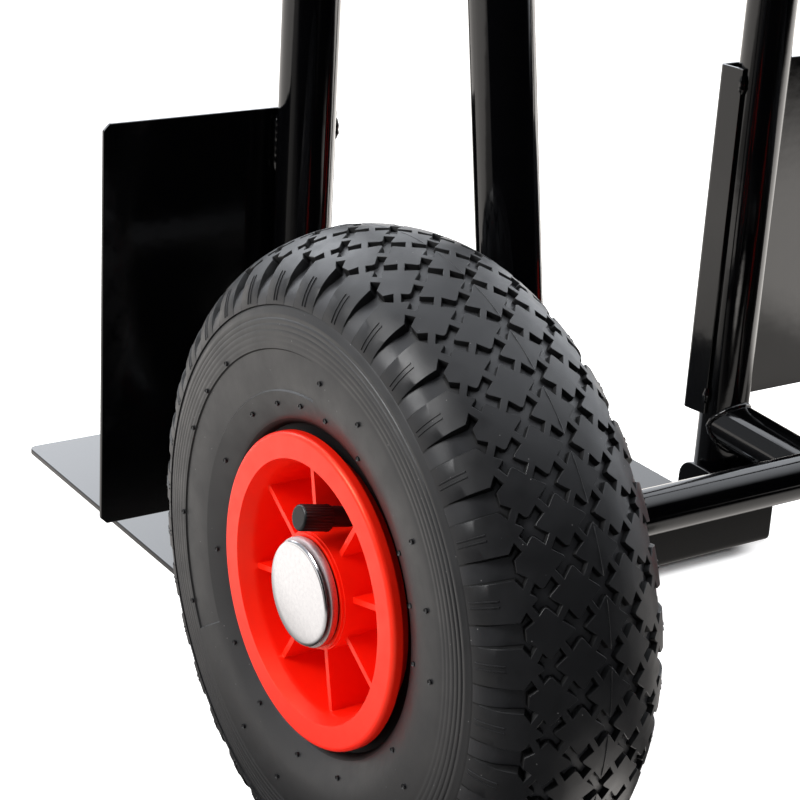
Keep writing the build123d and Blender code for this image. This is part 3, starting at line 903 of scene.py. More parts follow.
    def sink(
        self,
        piece: Piece,
        test: Callable[[Face], bool],
        depth: Callable[[float], float],
    ) -> None:
        """Sinks faces of a flat cell into a pocket with a rounded edge, with painted shade on its walls and
        corners and painted light on its floor.

        Args:
            piece: Flat cell.
            test: Tells which faces sink.
            depth: Depth of the pocket at a place across the tread.
        """
        pick_faces(piece, test)
        for inset, share in ((self.rim_edge, self.edge_share), (self.draft, 1.0), (self.corner, 1.0)):
            before = len(piece.data.polygons)
            bpy.ops.mesh.inset(thickness=inset, use_boundary=False, use_even_offset=True)
            editing(piece, False)
            # Painted light on the floor, and painted shade on the new walls and the corner ring
            for face in piece.data.polygons:
                if share == 1.0 and face.select:
                    face.material_index = TREAD_FINISHES.index(PAINTED_LIGHT_RUBBER)
                elif share == 1.0 and face.index >= before:
                    face.material_index = TREAD_FINISHES.index(SHADE_RUBBER)
            for number in {v for face in piece.data.polygons if face.select for v in face.vertices}:
                point = piece.data.vertices[number].co
                point.z = -share * depth(point.y)
            editing(piece, True)
        editing(piece, False)

    def diamond(self, name: str, pocket: CrossPocket) -> Piece:
        """Models one diamond of the tread with a cross-shaped pocket in its middle.

        Args:
            name: Name of the cell.
            pocket: Outline of the pocket and the diamond.

        Returns:
            Flat cell about its middle.
        """
        half = self.pitch / 2
        left, right = Vector((-half, 0)), Vector((half, 0))
        top, bottom = Vector((0, pocket.top)), Vector((0, -pocket.bottom))
        corners = pocket.corners(half)
        places = []
        for row, up in enumerate(self.line_shares):
            for column, down in enumerate(self.line_shares):
                plain = left.lerp(top, up).lerp(bottom.lerp(right, up), down)
                places.append(corners.get((row, column), tuple(plain)))
        cells = len(self.line_shares) - 1
        piece = self.grid(name, cells, cells, places)
        floor = [piece.data.polygons[number].center.copy() for number in self.pocket_faces]
        tips = pocket.notches
        self.round_tips(piece, tips)
        self.sink(
            piece,
            lambda face: is_near(face.center, floor, self.pocket_reach)
            or is_near(face.center, tips, self.tip_reach),
            lambda across: self.depth,
        )
        return piece

    def recess_depth(self, across: float) -> float:
        """Depth of the recess between two lugs, which runs out at the shoulder line.

        Args:
            across: Place across the tread.

        Returns:
            Depth at that place.
        """
        end = self.shoulder_line - self.recess_margin
        share = min(1.0, max(0.0, (end - across) / (end - self.crown_edge)))
        return self.recess * share**self.recess_power

    def lug_pair(self) -> Piece:
        """Models one pitch of the shoulder: a recess with half a lug on each side of it.

        Returns:
            Flat cell, centred along X on the recess.
        """
        half = self.pitch / 2
        low = 2 * self.row_step
        foot = [(half * share, low + (self.lug_foot - low) * share) for share in self.line_shares]
        rows = [foot, *([*points, (half, end)] for points, end in self.lug_curves)]
        rows += [[(x, y) for x in (*self.lug_columns, half)] for y in (*self.lug_rows, self.shoulder_line)]
        columns = len(self.lug_columns)
        faces = len(rows) - 1
        cell = self.grid("lug_pair", columns, faces, [place for row in rows for place in row])
        rib = {columns * row + columns - 1 for row in range(self.lug_rib_row, faces - 1)}
        recess = {columns * row + column for row in range(1, faces) for column in range(self.recess_columns)}
        centres = [face.center.copy() for face in cell.data.polygons if face.index in rib]
        self.sink(cell, lambda face: face.index in recess, self.recess_depth)
        self.raise_rib(cell, centres)
        mirror = cell.modifiers.new("mirror", "MIRROR")
        mirror.merge_threshold = self.seam
        apply_modifiers(cell)
        self.turn_under(cell)
        return cell

    def raise_rib(self, cell: Piece, centres: Sequence[Vector]) -> None:
        """Raises the thin rib along a lug.

        Args:
            cell: Flat cell of the shoulder.
            centres: Middles of the faces that the rib stands on.
        """
        pick_faces(cell, lambda face: is_near(face.center, centres))
        bpy.ops.mesh.inset(thickness=self.lug_rib_margin, use_boundary=True)
        bpy.ops.mesh.inset(thickness=self.lug_rib_draft, depth=self.lug_rib_height, use_boundary=True)
        editing(cell, False)

    def turn_under(self, cell: Piece) -> None:
        """Turns the lugs' outer ends in towards the sidewall.

        Args:
            cell: Flat cell of the shoulder.
        """
        pick_vertices(cell, lambda place: abs(place.y - self.shoulder_line) < NEAR)
        bpy.ops.mesh.select_mode(type="EDGE")
        bpy.ops.mesh.extrude_edges_move(TRANSFORM_OT_translate={"value": (0.0, 0.0, -self.lug_tuck)})
        editing(cell, False)

    def ridge(self) -> Piece:
        """Models the mould's parting ridge on one block of the middle row.

        Returns:
            Flat cell, highest on its middle line short of the ends.
        """
        bpy.ops.object.select_all(action="DESELECT")
        bpy.ops.mesh.primitive_grid_add(x_subdivisions=self.ridge_cells, y_subdivisions=2, size=1.0)
        piece = bpy.context.active_object
        piece.data.materials.append(RUBBER.material())
        length = self.pitch - 2 * self.ridge_gap
        for vertex in piece.data.vertices:
            x, y = vertex.co.x, vertex.co.y
            crest = abs(y) < NEAR and abs(x) < 0.5 - NEAR
            height = self.ridge_height if crest else -self.ridge_sink
            vertex.co = (self.pitch / 2 + x * length, y * self.ridge_width, height)
        return piece

    def ring_of(self, cell: Piece, start: float, row: float, flipped: bool) -> Piece:
        """Repeats a flat cell round the tread.

        Args:
            cell: Flat cell.
            start: Place of the first copy along the tread.
            row: Place of the row across the tread.
            flipped: True to turn the cell half round first.

        Returns:
            The row of cells, flat.
        """
        turn = Matrix.Rotation(math.pi if flipped else 0.0, 4, "Z")
        made = copy_of(cell, cell.name + "_row", Matrix.Translation((start, row, 0.0)) @ turn)
        array = made.modifiers.new("round", "ARRAY")
        array.count = self.pitches
        array.use_relative_offset = False
        array.use_constant_offset = True
        array.constant_offset_displace = (self.pitch, 0.0, 0.0)
        apply_modifiers(made)
        return made

    def tread(self) -> Piece:
        """Models the whole tread and wraps it round the wheel's axis.

        Returns:
            The tread, in metres about the wheel's middle.
        """
        diamond = self.diamond("diamond", CrossPocket())
        shoulder = self.diamond("shoulder_diamond", self.shoulder_pocket)
        lugs = self.lug_pair()
        ridge = self.ridge()
        step, half = self.row_step, self.pitch / 2
        rows = [self.ring_of(diamond, 0.0, 0.0, False), self.ring_of(ridge, 0.0, 0.0, False)]
        for flipped in (False, True):
            sign = -1.0 if flipped else 1.0
            rows.append(self.ring_of(diamond, half, sign * step, flipped))
            rows.append(self.ring_of(shoulder, 0.0, sign * 2 * step, flipped))
            rows.append(self.ring_of(lugs, half, 0.0, flipped))
        for cell in (diamond, shoulder, lugs, ridge):
            bpy.data.objects.remove(cell)
        made = join("tread", rows)
        for vertex in made.data.vertices:
            vertex.co = self.wrapped(vertex.co)
        merge(made, outside=False)
        return made

    def build(self) -> Piece:
        """Models the left wheel's tyre in its place.

        Returns:
            The tyre, in metres.
        """
        wall = Sidewall().build()
        other = copy_of(wall, "other_sidewall", MIRRORED)
        tyre = join("left_tyre_moulding", [self.tread(), wall, other])
        tyre.data.transform(Matrix.Translation(WHEEL_CENTRE * MM))
        smooth(tyre, self.sharp_angle)
        return tyre

    def dress(self) -> None:
        """Puts a tyre on each wheel."""
        left = self.build()
        finishes = [face.material_index for face in left.data.polygons]
        shift = Matrix.Translation((-2 * WHEEL_CENTRE.x * MM, 0, 0))
        right = copy_of(left, "right_tyre_moulding", shift)
        for side, piece in ((Side.LEFT, left), (Side.RIGHT, right)):
            dress(piece, RUBBER, side.wheel_body, [f"{side.label}_tyre"])
            for finish in TREAD_FINISHES[1:]:
                piece.data.materials.append(finish.material())
            piece.data.polygons.foreach_set("material_index", finishes)


@dataclass
class Sidewall:
    """One side of the tyre: fine ribs under the lugs, a plain sunk panel and the stubs of mould vents."""

    bead: tuple[Point2, ...] = ((29.5, 55.0), (29.8, 59.6), (30.6, 61.1), (32.4, 61.9))
    lip: tuple[Point2, ...] = ((32.9, 62.4), (33.9, 63.4), (34.8, 65.2), (36.1, 68.2), (37.45, 71.6))
    bulge: tuple[Point2, ...] = (
        (38.3, 74.0),
        (38.9, 77.0),
        (39.3, 80.5),
        (39.5, 84.0),
        (39.55, 87.5),
        (39.5, 89.8),
    )
    rib_start: float = 90.5
    rib_step: float = 2.05
    rib_count: int = 6
    rib_height: float = 0.11
    rib_station: float = 39.4
    rib_fall: float = 0.0085
    rib_shares: Point3 = (0.2, 0.62, 0.85)
    rib_dip: float = 0.04
    edge: tuple[Point2, ...] = ((37.75, 103.9), (37.55, 104.8), (36.9, 105.6), (35.6, 107.0))
    inside: tuple[Point2, ...] = ((32.5, 105.0), (34.3, 90.0), (32.5, 74.0), (27.0, 60.0), (26.5, 55.0))
    steps: int = 216
    panel_radii: Point2 = (74.0, 90.0)
    panel_arc: Point2 = (90.0, 214.0)
    panel_depth: float = 0.6
    panel_slope: float = 0.5
    step_tilt: float = 0.4
    face_station: float = 30.0
    face_tilt: float = 0.5
    stub_rings: tuple[tuple[float, tuple[float, ...]], ...] = (
        (69.3, (3.0, 20.0, 35.0, 66.0, 85.0, 99.0, 113.0, 130.0, 157.0, 190.0)),
        (69.3, (221.0, 243.0, 268.0, 292.0, 330.0)),
        (83.6, (3.0, 20.0, 36.0, 68.0, 86.0, 243.0, 262.0, 289.0, 330.0)),
        (91.0, (131.5, 145.0, 158.5, 183.0, 206.0)),
    )
    stub_radius: float = 0.95
    stub_height: float = 0.7
    stub_rim: float = 0.3
    stub_cup: float = 0.25
    stub_facets: int = 10

    def ribs(self) -> list[Point2]:
        """Lays out the fine concentric ribs.

        Returns:
            Their corners as (station, radius).
        """
        rise, fall, end = (share * self.rib_step for share in self.rib_shares)
        corners: list[Point2] = []
        for number in range(self.rib_count):
            low = self.rib_start + number * self.rib_step
            station = self.rib_station - self.rib_fall * (low - self.rib_start) ** 2
            corners += [
                (station, low),
                (station + self.rib_height, low + rise),
                (station + self.rib_height, low + fall),
                (station - self.rib_dip, low + end),
            ]
        return corners

    def station(self, radius: float) -> float:
        """Finds the plain wall's place at a radius.

        Args:
            radius: Distance from the wheel's axis.

        Returns:
            Station from the wheel's middle plane.
        """
        places = [*self.lip, *self.bulge, (self.rib_station, self.rib_start)]
        for (low_x, low_r), (high_x, high_r) in zip(places, places[1:]):
            if low_r <= radius <= high_r:
                return low_x + (high_x - low_x) * (radius - low_r) / (high_r - low_r)
        return self.rib_station

    def sink_panel(self, wall: Piece) -> None:
        """Sinks the plain panel over its arc of the wall, with painted shade on the step along its outer
        edge.

        Args:
            wall: Turned wall about the wheel's axis.
        """
        low, high = (radius * MM for radius in self.panel_radii)
        start, end = self.panel_arc

        def inside(face: Face) -> bool:
            """Tells whether a face lies in the panel.

            Args:
                face: Face of the wall.

            Returns:
                True for a face of the panel.
            """
            x, y, z = face.center
            angle = math.degrees(math.atan2(z, y)) % 360.0
            outer = x > self.face_station * MM and face.normal.x > self.face_tilt
            return outer and low < math.hypot(y, z) < high and start < angle < end

        def faces_in(face: Face) -> bool:
            """Tells whether a face looks towards the wheel's axis."""
            _, y, z = face.center
            return (face.normal.y * y + face.normal.z * z) / math.hypot(y, z) < -self.step_tilt

        pick_faces(wall, inside)
        before = len(wall.data.polygons)
        bpy.ops.mesh.inset(thickness=self.panel_slope * MM, depth=-self.panel_depth * MM, use_boundary=True)
        editing(wall, False)
        # Painted shade: the step's faces that look towards the axis take the near-black rubber
        for face in wall.data.polygons[before:]:
            if faces_in(face):
                face.material_index = TREAD_FINISHES.index(SHADE_RUBBER)

    def stubs(self) -> list[Piece]:
        """Models the trimmed stubs of the mould's vents.

        Returns:
            The stubs, each in its place about the wheel's axis.
        """
        bpy.ops.object.select_all(action="DESELECT")
        bpy.ops.mesh.primitive_cylinder_add(
            vertices=self.stub_facets, radius=self.stub_radius * MM, depth=2 * self.stub_height * MM
        )
        first = bpy.context.active_object
        first.data.materials.append(RUBBER.material())
        pick_faces(first, lambda face: face.normal.z > FACING)
        bpy.ops.mesh.inset(thickness=self.stub_rim * MM)
        bpy.ops.transform.translate(value=(0.0, 0.0, -self.stub_cup * MM))
        editing(first, False)
        made = []
        for radius, angles in self.stub_rings:
            for angle in angles:
                rise = Matrix.Translation((self.station(radius) * MM, radius * MM, 0.0))
                turn = Matrix.Rotation(math.radians(angle), 4, "X")
                made.append(copy_of(first, "vent_stub", turn @ rise @ OUTWARD))
        bpy.data.objects.remove(first)
        return made

    def build(self) -> Piece:
        """Models the wall on the wheel's +X side.

        Returns:
            The wall with its stubs, about the wheel's axis.
        """
        outline = [*self.bead, *self.lip, *self.bulge, *self.ribs(), *self.edge, *self.inside]
        wall = turned("sidewall", outline, self.steps)
        for finish in TREAD_FINISHES:
            wall.data.materials.append(finish.material())
        # Painted shade: the faces inside the lip's seat, next to the rim, take the near-black rubber
        seat = self.lip[1][1] * MM
        for face in wall.data.polygons:
            inner = math.hypot(face.center.y, face.center.z) < seat
            face.material_index = TREAD_FINISHES.index(SHADE_RUBBER if inner else SIDE_RUBBER)
        self.sink_panel(wall)
        return join("sidewall", [wall, *self.stubs()])


@dataclass
class Bead:
    """A weld bead: a rippled rope of metal along a path."""

    path: Sequence[Point3]
    closed: bool = True
    radius: float = 2.0
    ripple: float = 0.07
    pitch: float = 3.4
    end_share: float = 0.55
    taper: int = 3
    steps: int = 4
    wander: float = 0.06
    rings: int = 2
    sharp_angle: float = 60.0

    def points(self) -> list[Vector]:
        """Spreads points along the path.

        Returns:
            The points, a few to a ripple.
        """
        corners = [Vector(point) for point in self.path]
        if self.closed:
            corners.append(corners[0])
        made: list[Vector] = []
        for start, end in zip(corners, corners[1:]):
            count = max(1, round((end - start).length / (self.pitch / self.steps)))
            made += [start.lerp(end, number / count) for number in range(count)]
        return made if self.closed else [*made, corners[-1]]

    def build(self) -> Piece:
        """Lays the bead.

        Returns:
            Its mesh, in metres.
        """
        places = self.points()
        bpy.ops.object.select_all(action="DESELECT")
        bpy.ops.mesh.primitive_circle_add(vertices=len(places), radius=1.0)
        piece = bpy.context.active_object
        for vertex, place in zip(piece.data.vertices, places):
            vertex.co = place * MM
        if not self.closed:
            ends = {0, len(places) - 1}
            editing(piece, True)
            bpy.ops.mesh.select_all(action="DESELECT")
            editing(piece, False)
            for edge in piece.data.edges:
                edge.select = set(edge.vertices) == ends
            editing(piece, True)
            bpy.ops.mesh.select_mode(type="EDGE")
            bpy.ops.mesh.delete(type="EDGE_FACE")
            editing(piece, False)
        select_only(piece)
        bpy.ops.object.convert(target="CURVE")
        piece = bpy.context.active_object
        curve = piece.data
        curve.bevel_depth = self.radius * MM
        curve.bevel_resolution = self.rings
        curve.use_fill_caps = True
        chance = Random(len(places))
        last = len(places) - 1
        for number, point in enumerate(curve.splines[0].points):
            wave = math.cos(math.tau * number / self.steps) * self.ripple
            size = 1.0 + wave + chance.uniform(-self.wander, self.wander)
            if not self.closed:
                full = min(1.0, min(number, last - number) / self.taper)
                size *= self.end_share + (1.0 - self.end_share) * full
            point.radius = size
        select_only(piece)
        bpy.ops.object.convert(target="MESH")
        piece = bpy.context.active_object
        smooth(piece, self.sharp_angle)
        return piece


@dataclass
class Welds:
    """The welds of the frame and of the toe plate, painted over with the rest."""

    upright: Point2 = (132.8, -32.5)
    tube: float = 12.7
    bar: float = 10.0
    bar_heights: tuple[float, ...] = (360.0, 640.0, 920.0)
    axle: Point2 = (156.5, 130.0)
    axle_radius: float = 9.5
    seat_start: float = 122.0
    seat_sweep: float = 116.0
    stay_y: float = 138.8
    stay_lean: float = 10.1
    foot_height: float = 64.0
    foot_fall: float = 2.5
    foot_share: float = 0.97
    stay_top: Point3 = (-6.9, 952.0, 1014.0)
    head_offset: float = 4.2
    guard_face: float = -45.3
    guard_offset: Point2 = (8.2, 2.3)
    guard_runs: tuple[Point2, ...] = ((226.0, 251.0), (74.0, 98.0))
    return_offset: Point2 = (1.4, 0.6)
    return_runs: tuple[Point2, ...] = ((241.0, 250.0), (76.0, 84.0))
    cheek_faces: Point2 = (114.1, 151.5)
    cheek_offset: float = 0.5
    cheek_run: Point2 = (-37.0, -12.0)
    cheek_rise: Point2 = (8.0, 38.0)
    flange_face: float = -9.0
    plate_top: float = 3.0
    seam_offset: float = 0.6
    foot_bead: float = 1.7
    head_bead: float = 2.6
    cheek_bead: float = 1.9
    ring: int = 24

    def bar_ends(self) -> list[Bead]:
        """Plans the beads round the ends of the cross bars.

        Returns:
            One bead for each bar.
        """
        beads = []
        for height in self.bar_heights:
            path = []
            for number in range(self.ring):
                turn = math.tau * number / self.ring
                y = self.bar * math.cos(turn)
                x = self.upright[0] - math.sqrt(self.tube**2 - y**2)
                path.append((x, self.upright[1] + y, height + self.bar * math.sin(turn)))
            beads.append(Bead(path))
        return beads

    def stay_foot(self) -> Bead:
        """Plans the bead round the foot of the stay.

        Returns:
            The bead.
        """
        path = []
        for number in range(self.ring):
            turn = math.tau * number / self.ring
            x = self.foot_share * self.tube * math.cos(turn)
            y = math.sqrt(self.tube**2 - x**2)
            z = self.foot_height - y * math.tan(math.radians(self.foot_fall)) + self.tube * math.sin(turn)
            path.append((self.upright[0] + x, self.upright[1] + y, z))
        return Bead(path, radius=self.foot_bead)

    def stay_head(self) -> list[Bead]:
        """Plans the beads down both sides of the seam between the stay's top and the upright.

        Returns:
            The inner and the outer bead.
        """
        seam, low, high = self.stay_top
        y = (self.upright[1] + seam) / 2
        beads = []
        for offset in (-self.head_offset, self.head_offset):
            x = self.upright[0] + offset
            beads.append(Bead([(x, y, low), (x, y, high)], closed=False, radius=self.head_bead))
        return beads

    def axle_seat(self) -> Bead:
        """Plans the bead round the seat that the axle has in the stay.

        Returns:
            The bead.
        """
        lean = math.radians(self.stay_lean)
        half = self.ring // 2
        turns = [self.seat_start + number * self.seat_sweep / half for number in range(half + 1)]
        path = []
        for side, order in ((1.0, turns), (-1.0, turns[::-1])):
            for turn in order:
                y = self.axle_radius * math.cos(math.radians(turn) + lean)
                z = self.axle_radius * math.sin(math.radians(turn) + lean)
                away = (self.axle[0] + y - self.stay_y) * math.cos(lean) + z * math.sin(lean)
                x = math.sqrt(max(0.0, self.tube**2 - away**2))
                path.append((self.upright[0] + side * x, self.axle[0] + y, self.axle[1] + z))
        return Bead(path)

    def guard_seams(self) -> list[Bead]:
        """Plans the short beads between the upright and the guard's panel and return.

        Returns:
            The panel's beads, and then the return's.
        """
        x, y = self.upright
        out = x + self.guard_offset[0]
        back = self.guard_face + self.guard_offset[1]
        inner = x - self.tube - self.return_offset[0]
        middle = y + self.return_offset[1]
        runs = [[(out, back, low), (out, back, high)] for low, high in self.guard_runs]
        runs += [[(inner, middle, low), (inner, middle, high)] for low, high in self.return_runs]
        return [Bead(run, closed=False) for run in runs]

    def cheek_seams(self) -> list[Bead]:
        """Plans the beads along the feet and the backs of the hinge cheeks.

        Returns:
            A foot's bead and a back's for each cheek.
        """
        foot = self.plate_top + self.seam_offset
        back = self.flange_face - self.seam_offset
        beads = []
        for face, offset in zip(self.cheek_faces, (-self.cheek_offset, self.cheek_offset)):
            x = face + offset
            along = [(x, y, foot) for y in self.cheek_run]
            upward = [(x, back, z) for z in self.cheek_rise]
            beads += [Bead(run, closed=False, radius=self.cheek_bead) for run in (along, upward)]
        return beads

    def lay(self, beads: Sequence[Bead], name: str, body: str) -> None:
        """Lays beads on the left side and mirrors them to the right one.

        Args:
            beads: Beads of the left side.
            name: What the joined beads are called.
            body: CAD body that they ride on.
        """
        left = join(f"left_{name}", [bead.build() for bead in beads])
        right = copy_of(left, f"right_{name}", MIRRORED)
        for piece in (left, right):
            smooth(piece, Bead.sharp_angle)
            dress(piece, WELD_ENAMEL, body)

    def build(self) -> None:
        """Lays all the welds."""
        tube_beads = [*self.bar_ends(), self.stay_foot(), *self.stay_head(), self.axle_seat()]
        self.lay([*tube_beads, *self.guard_seams()], "frame_welds", "frame")
        self.lay(self.cheek_seams(), "toe_welds", "toe")


@dataclass
class Grip:
    """Soft grip: a ribbed sleeve with a closed, rounded end."""

    start: Point3 = (132.8, 31.87, 1106.7)
    rise: float = 10.0
    length: float = 125.0
    radius: float = 16.0
    valley: float = 14.7
    bore: float = 12.8
    collar: float = 6.0
    collar_lip: float = 0.8
    collar_end: float = 1.0
    rib_pitch: float = 5.4
    rib_count: int = 19
    # Corners of a rib as (station, height over the valley), and of the tip as (distance before the
    # end, distance under the radius)
    rib: tuple[Point2, ...] = (
        (0.0, 0.15),
        (0.3, 0.0),
        (1.5, 0.0),
        (1.9, 0.3),
        (2.4, 1.05),
        (3.0, 1.3),
        (4.3, 1.3),
        (4.9, 1.05),
    )
    tip: tuple[Point2, ...] = ((11.0, 0.7), (9.0, 0.0), (4.0, 0.0), (1.4, 1.2), (0.3, 4.0), (0.0, 8.0))
    end: float = 5.0
    steps: int = 72

    def outline(self) -> list[Point2]:
        """Closed half section of the grip.

        Returns:
            Corners as (station, radius).
        """
        section = [
            (0.0, self.bore),
            (0.0, self.radius - self.collar_lip),
            (self.collar_lip, self.radius),
            (self.collar - self.collar_end, self.radius),
        ]
        for number in range(self.rib_count):
            low = self.collar + number * self.rib_pitch
            section += [(low + station, self.valley + height) for station, height in self.rib]
        section += [(self.length - before, self.radius - under) for before, under in self.tip]
        section += [(self.length, 0.0), (self.length - self.end, 0.0), (self.length - self.end, self.bore)]
        return section

    def build(self) -> None:
        """Models one grip and puts one on each handle."""
        made = turned("left_grip_sleeve", self.outline(), self.steps)
        way = Vector((0.0, math.cos(math.radians(self.rise)), math.sin(math.radians(self.rise))))
        turn = Vector((1, 0, 0)).rotation_difference(way).to_matrix().to_4x4()
        made.data.transform(Matrix.Translation(Vector(self.start) * MM) @ turn)
        smooth(made, TURNED_ANGLE)
        other = copy_of(made, "right_grip_sleeve", MIRRORED)
        for side, piece in ((Side.LEFT, made), (Side.RIGHT, other)):
            dress(piece, GRIP_VINYL, "frame", [f"{side.label}_handle_grip"])


@dataclass
class WheelEnds:
    """What shows on the outside of each hub: the chrome cap, its retainer and the valve's cap."""

    cap: tuple[Point2, ...] = (
        (41.75, 0.0),
        (41.73, 4.0),
        (41.68, 8.0),
        (41.6, 12.0),
        (41.5, 15.5),
        (41.42, 18.0),
        (41.3, 18.8),
        (41.0, 19.35),
        (40.75, 19.6),
        (40.5, 19.5),
        (40.45, 19.0),
        (40.45, 15.5),
        (38.25, 15.5),
        (38.25, 0.0),
    )
    retainer: tuple[Point2, ...] = (
        (39.25, 16.0),
        (39.25, 19.7),
        (38.95, 20.4),
        (38.5, 20.6),
        (36.9, 20.6),
        (36.5, 20.4),
        (36.4, 19.8),
        (36.4, 10.0),
        (38.2, 10.0),
    )
    valve: Point2 = (3.6, 32.4)
    valve_end: float = 43.9
    valve_length: float = 10.2
    valve_radius: float = 4.9
    valve_collar: float = 1.4
    collar_share: float = 1.04
    # The rounded end's steps, each as its rise and the share of the width that it keeps
    valve_round: tuple[Point2, ...] = ((0.45, 0.93), (0.3, 0.9))
    valve_rim: float = 0.4
    valve_lean: float = 12.0
    flutes: int = 26
    flute_depth: float = 0.3
    steps: int = 96

    def valve_cap(self) -> Piece:
        """Models the fluted valve cap, with a smooth collar and a rounded end.

        Returns:
            The cap along +X with the middle of its outer end at the origin, in metres.
        """
        bpy.ops.object.select_all(action="DESELECT")
        bpy.ops.mesh.primitive_cylinder_add(
            vertices=2 * self.flutes, radius=self.valve_radius * MM, depth=self.valve_length * MM
        )
        piece = bpy.context.active_object
        for vertex in piece.data.vertices:
            if (vertex.index // 2) % 2:
                vertex.co.xy *= 1.0 - self.flute_depth / self.valve_radius
        pick_faces(piece, lambda face: face.normal.z < -FACING)
        bpy.ops.mesh.extrude_region_move(
            TRANSFORM_OT_translate={"value": (0.0, 0.0, -self.valve_collar * MM)}
        )
        bpy.ops.transform.resize(value=(self.collar_share, self.collar_share, 1.0))
        editing(piece, False)
        pick_faces(piece, lambda face: face.normal.z > FACING)
        for rise, share in self.valve_round:
            bpy.ops.mesh.extrude_region_move(TRANSFORM_OT_translate={"value": (0.0, 0.0, rise * MM)})
            bpy.ops.transform.resize(value=(share, share, 1.0))
        bpy.ops.mesh.inset(thickness=self.valve_rim * MM)
        editing(piece, False)
        piece.data.transform(Matrix.Translation((-self.valve_length / 2 * MM, 0.0, 0.0)) @ OUTWARD)
        smooth(piece, TURNED_ANGLE)
        return piece

    def lean(self, side: Side) -> Matrix:
        """Turn by which a valve leans away from the wheel's axis.

        Args:
            side: Side of the truck.

        Returns:
            Turn about the outer end of the valve's cap, in metres.
        """
        end = WHEEL_CENTRE + Vector((self.valve_end, *self.valve))
        end.x *= side.value
        turn = Matrix.Rotation(math.radians(-self.valve_lean * side.value), 4, "Y")
        return Matrix.Translation(end * MM) @ turn @ Matrix.Translation(-end * MM)

    def build(self) -> None:
        """Models the left wheel's pieces and copies them to the right wheel."""
        cap = turned("left_hub_cap", self.cap, self.steps)
        retainer = turned("left_cap_spring", self.retainer, self.steps)
        valve = self.valve_cap()
        valve.name = "left_valve_cover"
        valve.data.transform(Matrix.Translation(Vector((self.valve_end, *self.valve)) * MM))
        for piece, finish, slot, node in (
            (cap, CHROME, Slot.CAP, "axle_cap"),
            (retainer, RETAINER_STEEL, Slot.ZINC, "cap_retainer"),
            (valve, VALVE_PLASTIC, Slot.VALVE, "valve_cap"),
        ):
            smooth(piece, TURNED_ANGLE)
            piece.data.transform(Matrix.Translation(WHEEL_CENTRE * MM))
            if piece == valve:
                piece.data.transform(self.lean(Side.LEFT))
            other = copy_of(piece, piece.name.replace("left", "right"), MIRRORED)
            for side, one in ((Side.LEFT, piece), (Side.RIGHT, other)):
                name = f"{side.label}_{node}"
                dress(one, finish, frame["nodes"][name]["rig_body"], [name])
        for side in Side:
            node = f"{side.label}_valve_stem"
            stem = carried_over(node, f"{node}_finished", 0.0)
            stem.data.transform(self.lean(side))
            dress(stem, VALVE_PLASTIC, side.wheel_body, [node])


@dataclass(frozen=True)
class Carried:
    """How the CAD shapes of some nodes are finished."""

    nodes: tuple[str, ...]
    finish: Finish
    slot: Slot
    edge: float = 0.0
    outward: float = 0.0

    def build(self) -> None:
        """Dresses a softened copy of each node, set a little outward where the photo shows it so."""
        for node in self.nodes:
            body = frame["nodes"][node]["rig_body"]
            piece = carried_over(node, f"{node}_finished", self.edge)
            side = Side.RIGHT if node.startswith(Side.RIGHT.label) else Side.LEFT
            piece.data.transform(Matrix.Translation((side.value * self.outward * MM, 0.0, 0.0)))
            dress(piece, self.finish, body, [node])


def on_both_sides(*names: str) -> tuple[str, ...]:
    """Names of the left and right nodes of these kinds."""
    return tuple(f"{side.label}_{name}" for name in names for side in Side)


CARRIED = (
    Carried(("axle", "lower_cross_bar", "middle_cross_bar", "upper_cross_bar"), ENAMEL, Slot.FRAME),
    Carried(on_both_sides("upright", "rear_stay", "axle_spacer", "hinge_sleeve"), ENAMEL, Slot.FRAME),
    Carried(on_both_sides("wheel_guard"), ENAMEL, Slot.FRAME, 0.35),
    Carried(on_both_sides("hinge_cheeks"), ENAMEL, Slot.FRAME, 0.4),
    Carried(("toe_plate",), PLATE_ENAMEL, Slot.FRAME, 0.5),
    Carried(("stay_plugs",), PLUG_PLASTIC, Slot.PLUG, 0.4),
    Carried(on_both_sides("outer_rim"), RIM_PLASTIC, Slot.RIM, 0.5, outward=1.3),
    Carried(on_both_sides("inner_rim"), RIM_PLASTIC, Slot.RIM, 0.5),
    Carried(("hinge_bolts", "hinge_nuts", "hinge_washers"), ZINC, Slot.ZINC, 0.25),
    Carried(on_both_sides("rim_screws", "axle_shim"), ZINC, Slot.ZINC, 0.2),
    Carried(
        on_both_sides("bearing_outer_rings", "bearing_inner_rings", "bearing_balls"),
        BEARING_STEEL,
        Slot.BEARING,
    ),
    Carried(on_both_sides("bearing_seals"), SEAL_RUBBER, Slot.SEAL),
    Carried(on_both_sides("inner_tube"), RUBBER, Slot.TYRE),
)


@dataclass(frozen=True)
class Edge:
    """Soft edge of a patch of light on an axis, from where only a rest is left to where it is full."""

    axis: str
    dark: float
    full: float
    rest: float = 0.0


@dataclass(frozen=True)
class Patch:
    """Patch of light on the floor or in the room, bounded by soft edges."""

    strength: float
    edges: tuple[Edge, ...]

    def shine(self, tree: Tree, axes: dict[str, Light]) -> Light:
        """Adds the patch to a tree.

        Args:
            tree: Tree of the floor or of the room.
            axes: Places or directions that the edges are measured on, by name.

        Returns:
            Strength of the patch's light.
        """
        light: Light = self.strength
        for edge in self.edges:
            share = add_node(
                tree,
                "ShaderNodeMapRange",
                {
                    "Value": axes[edge.axis],
                    "From Min": edge.dark,
                    "From Max": edge.full,
                    "To Min": edge.rest,
                    "To Max": 1.0,
                },
                interpolation_type="SMOOTHSTEP",
            ).outputs["Result"]
            light = add_node(tree, "ShaderNodeMath", {0: light, 1: share}, operation="MULTIPLY").outputs[0]
        return light


def brightest(tree: Tree, *lights: Light) -> Light:
    """Finds the strongest of some lights at each place.

    Args:
        tree: Tree of the floor or of the room.
        lights: Strengths of the lights.

    Returns:
        The greatest strength.
    """
    strongest = lights[0]
    for light in lights[1:]:
        strongest = add_node(
            tree, "ShaderNodeMath", {0: strongest, 1: light}, operation="MAXIMUM"
        ).outputs[0]
    return strongest


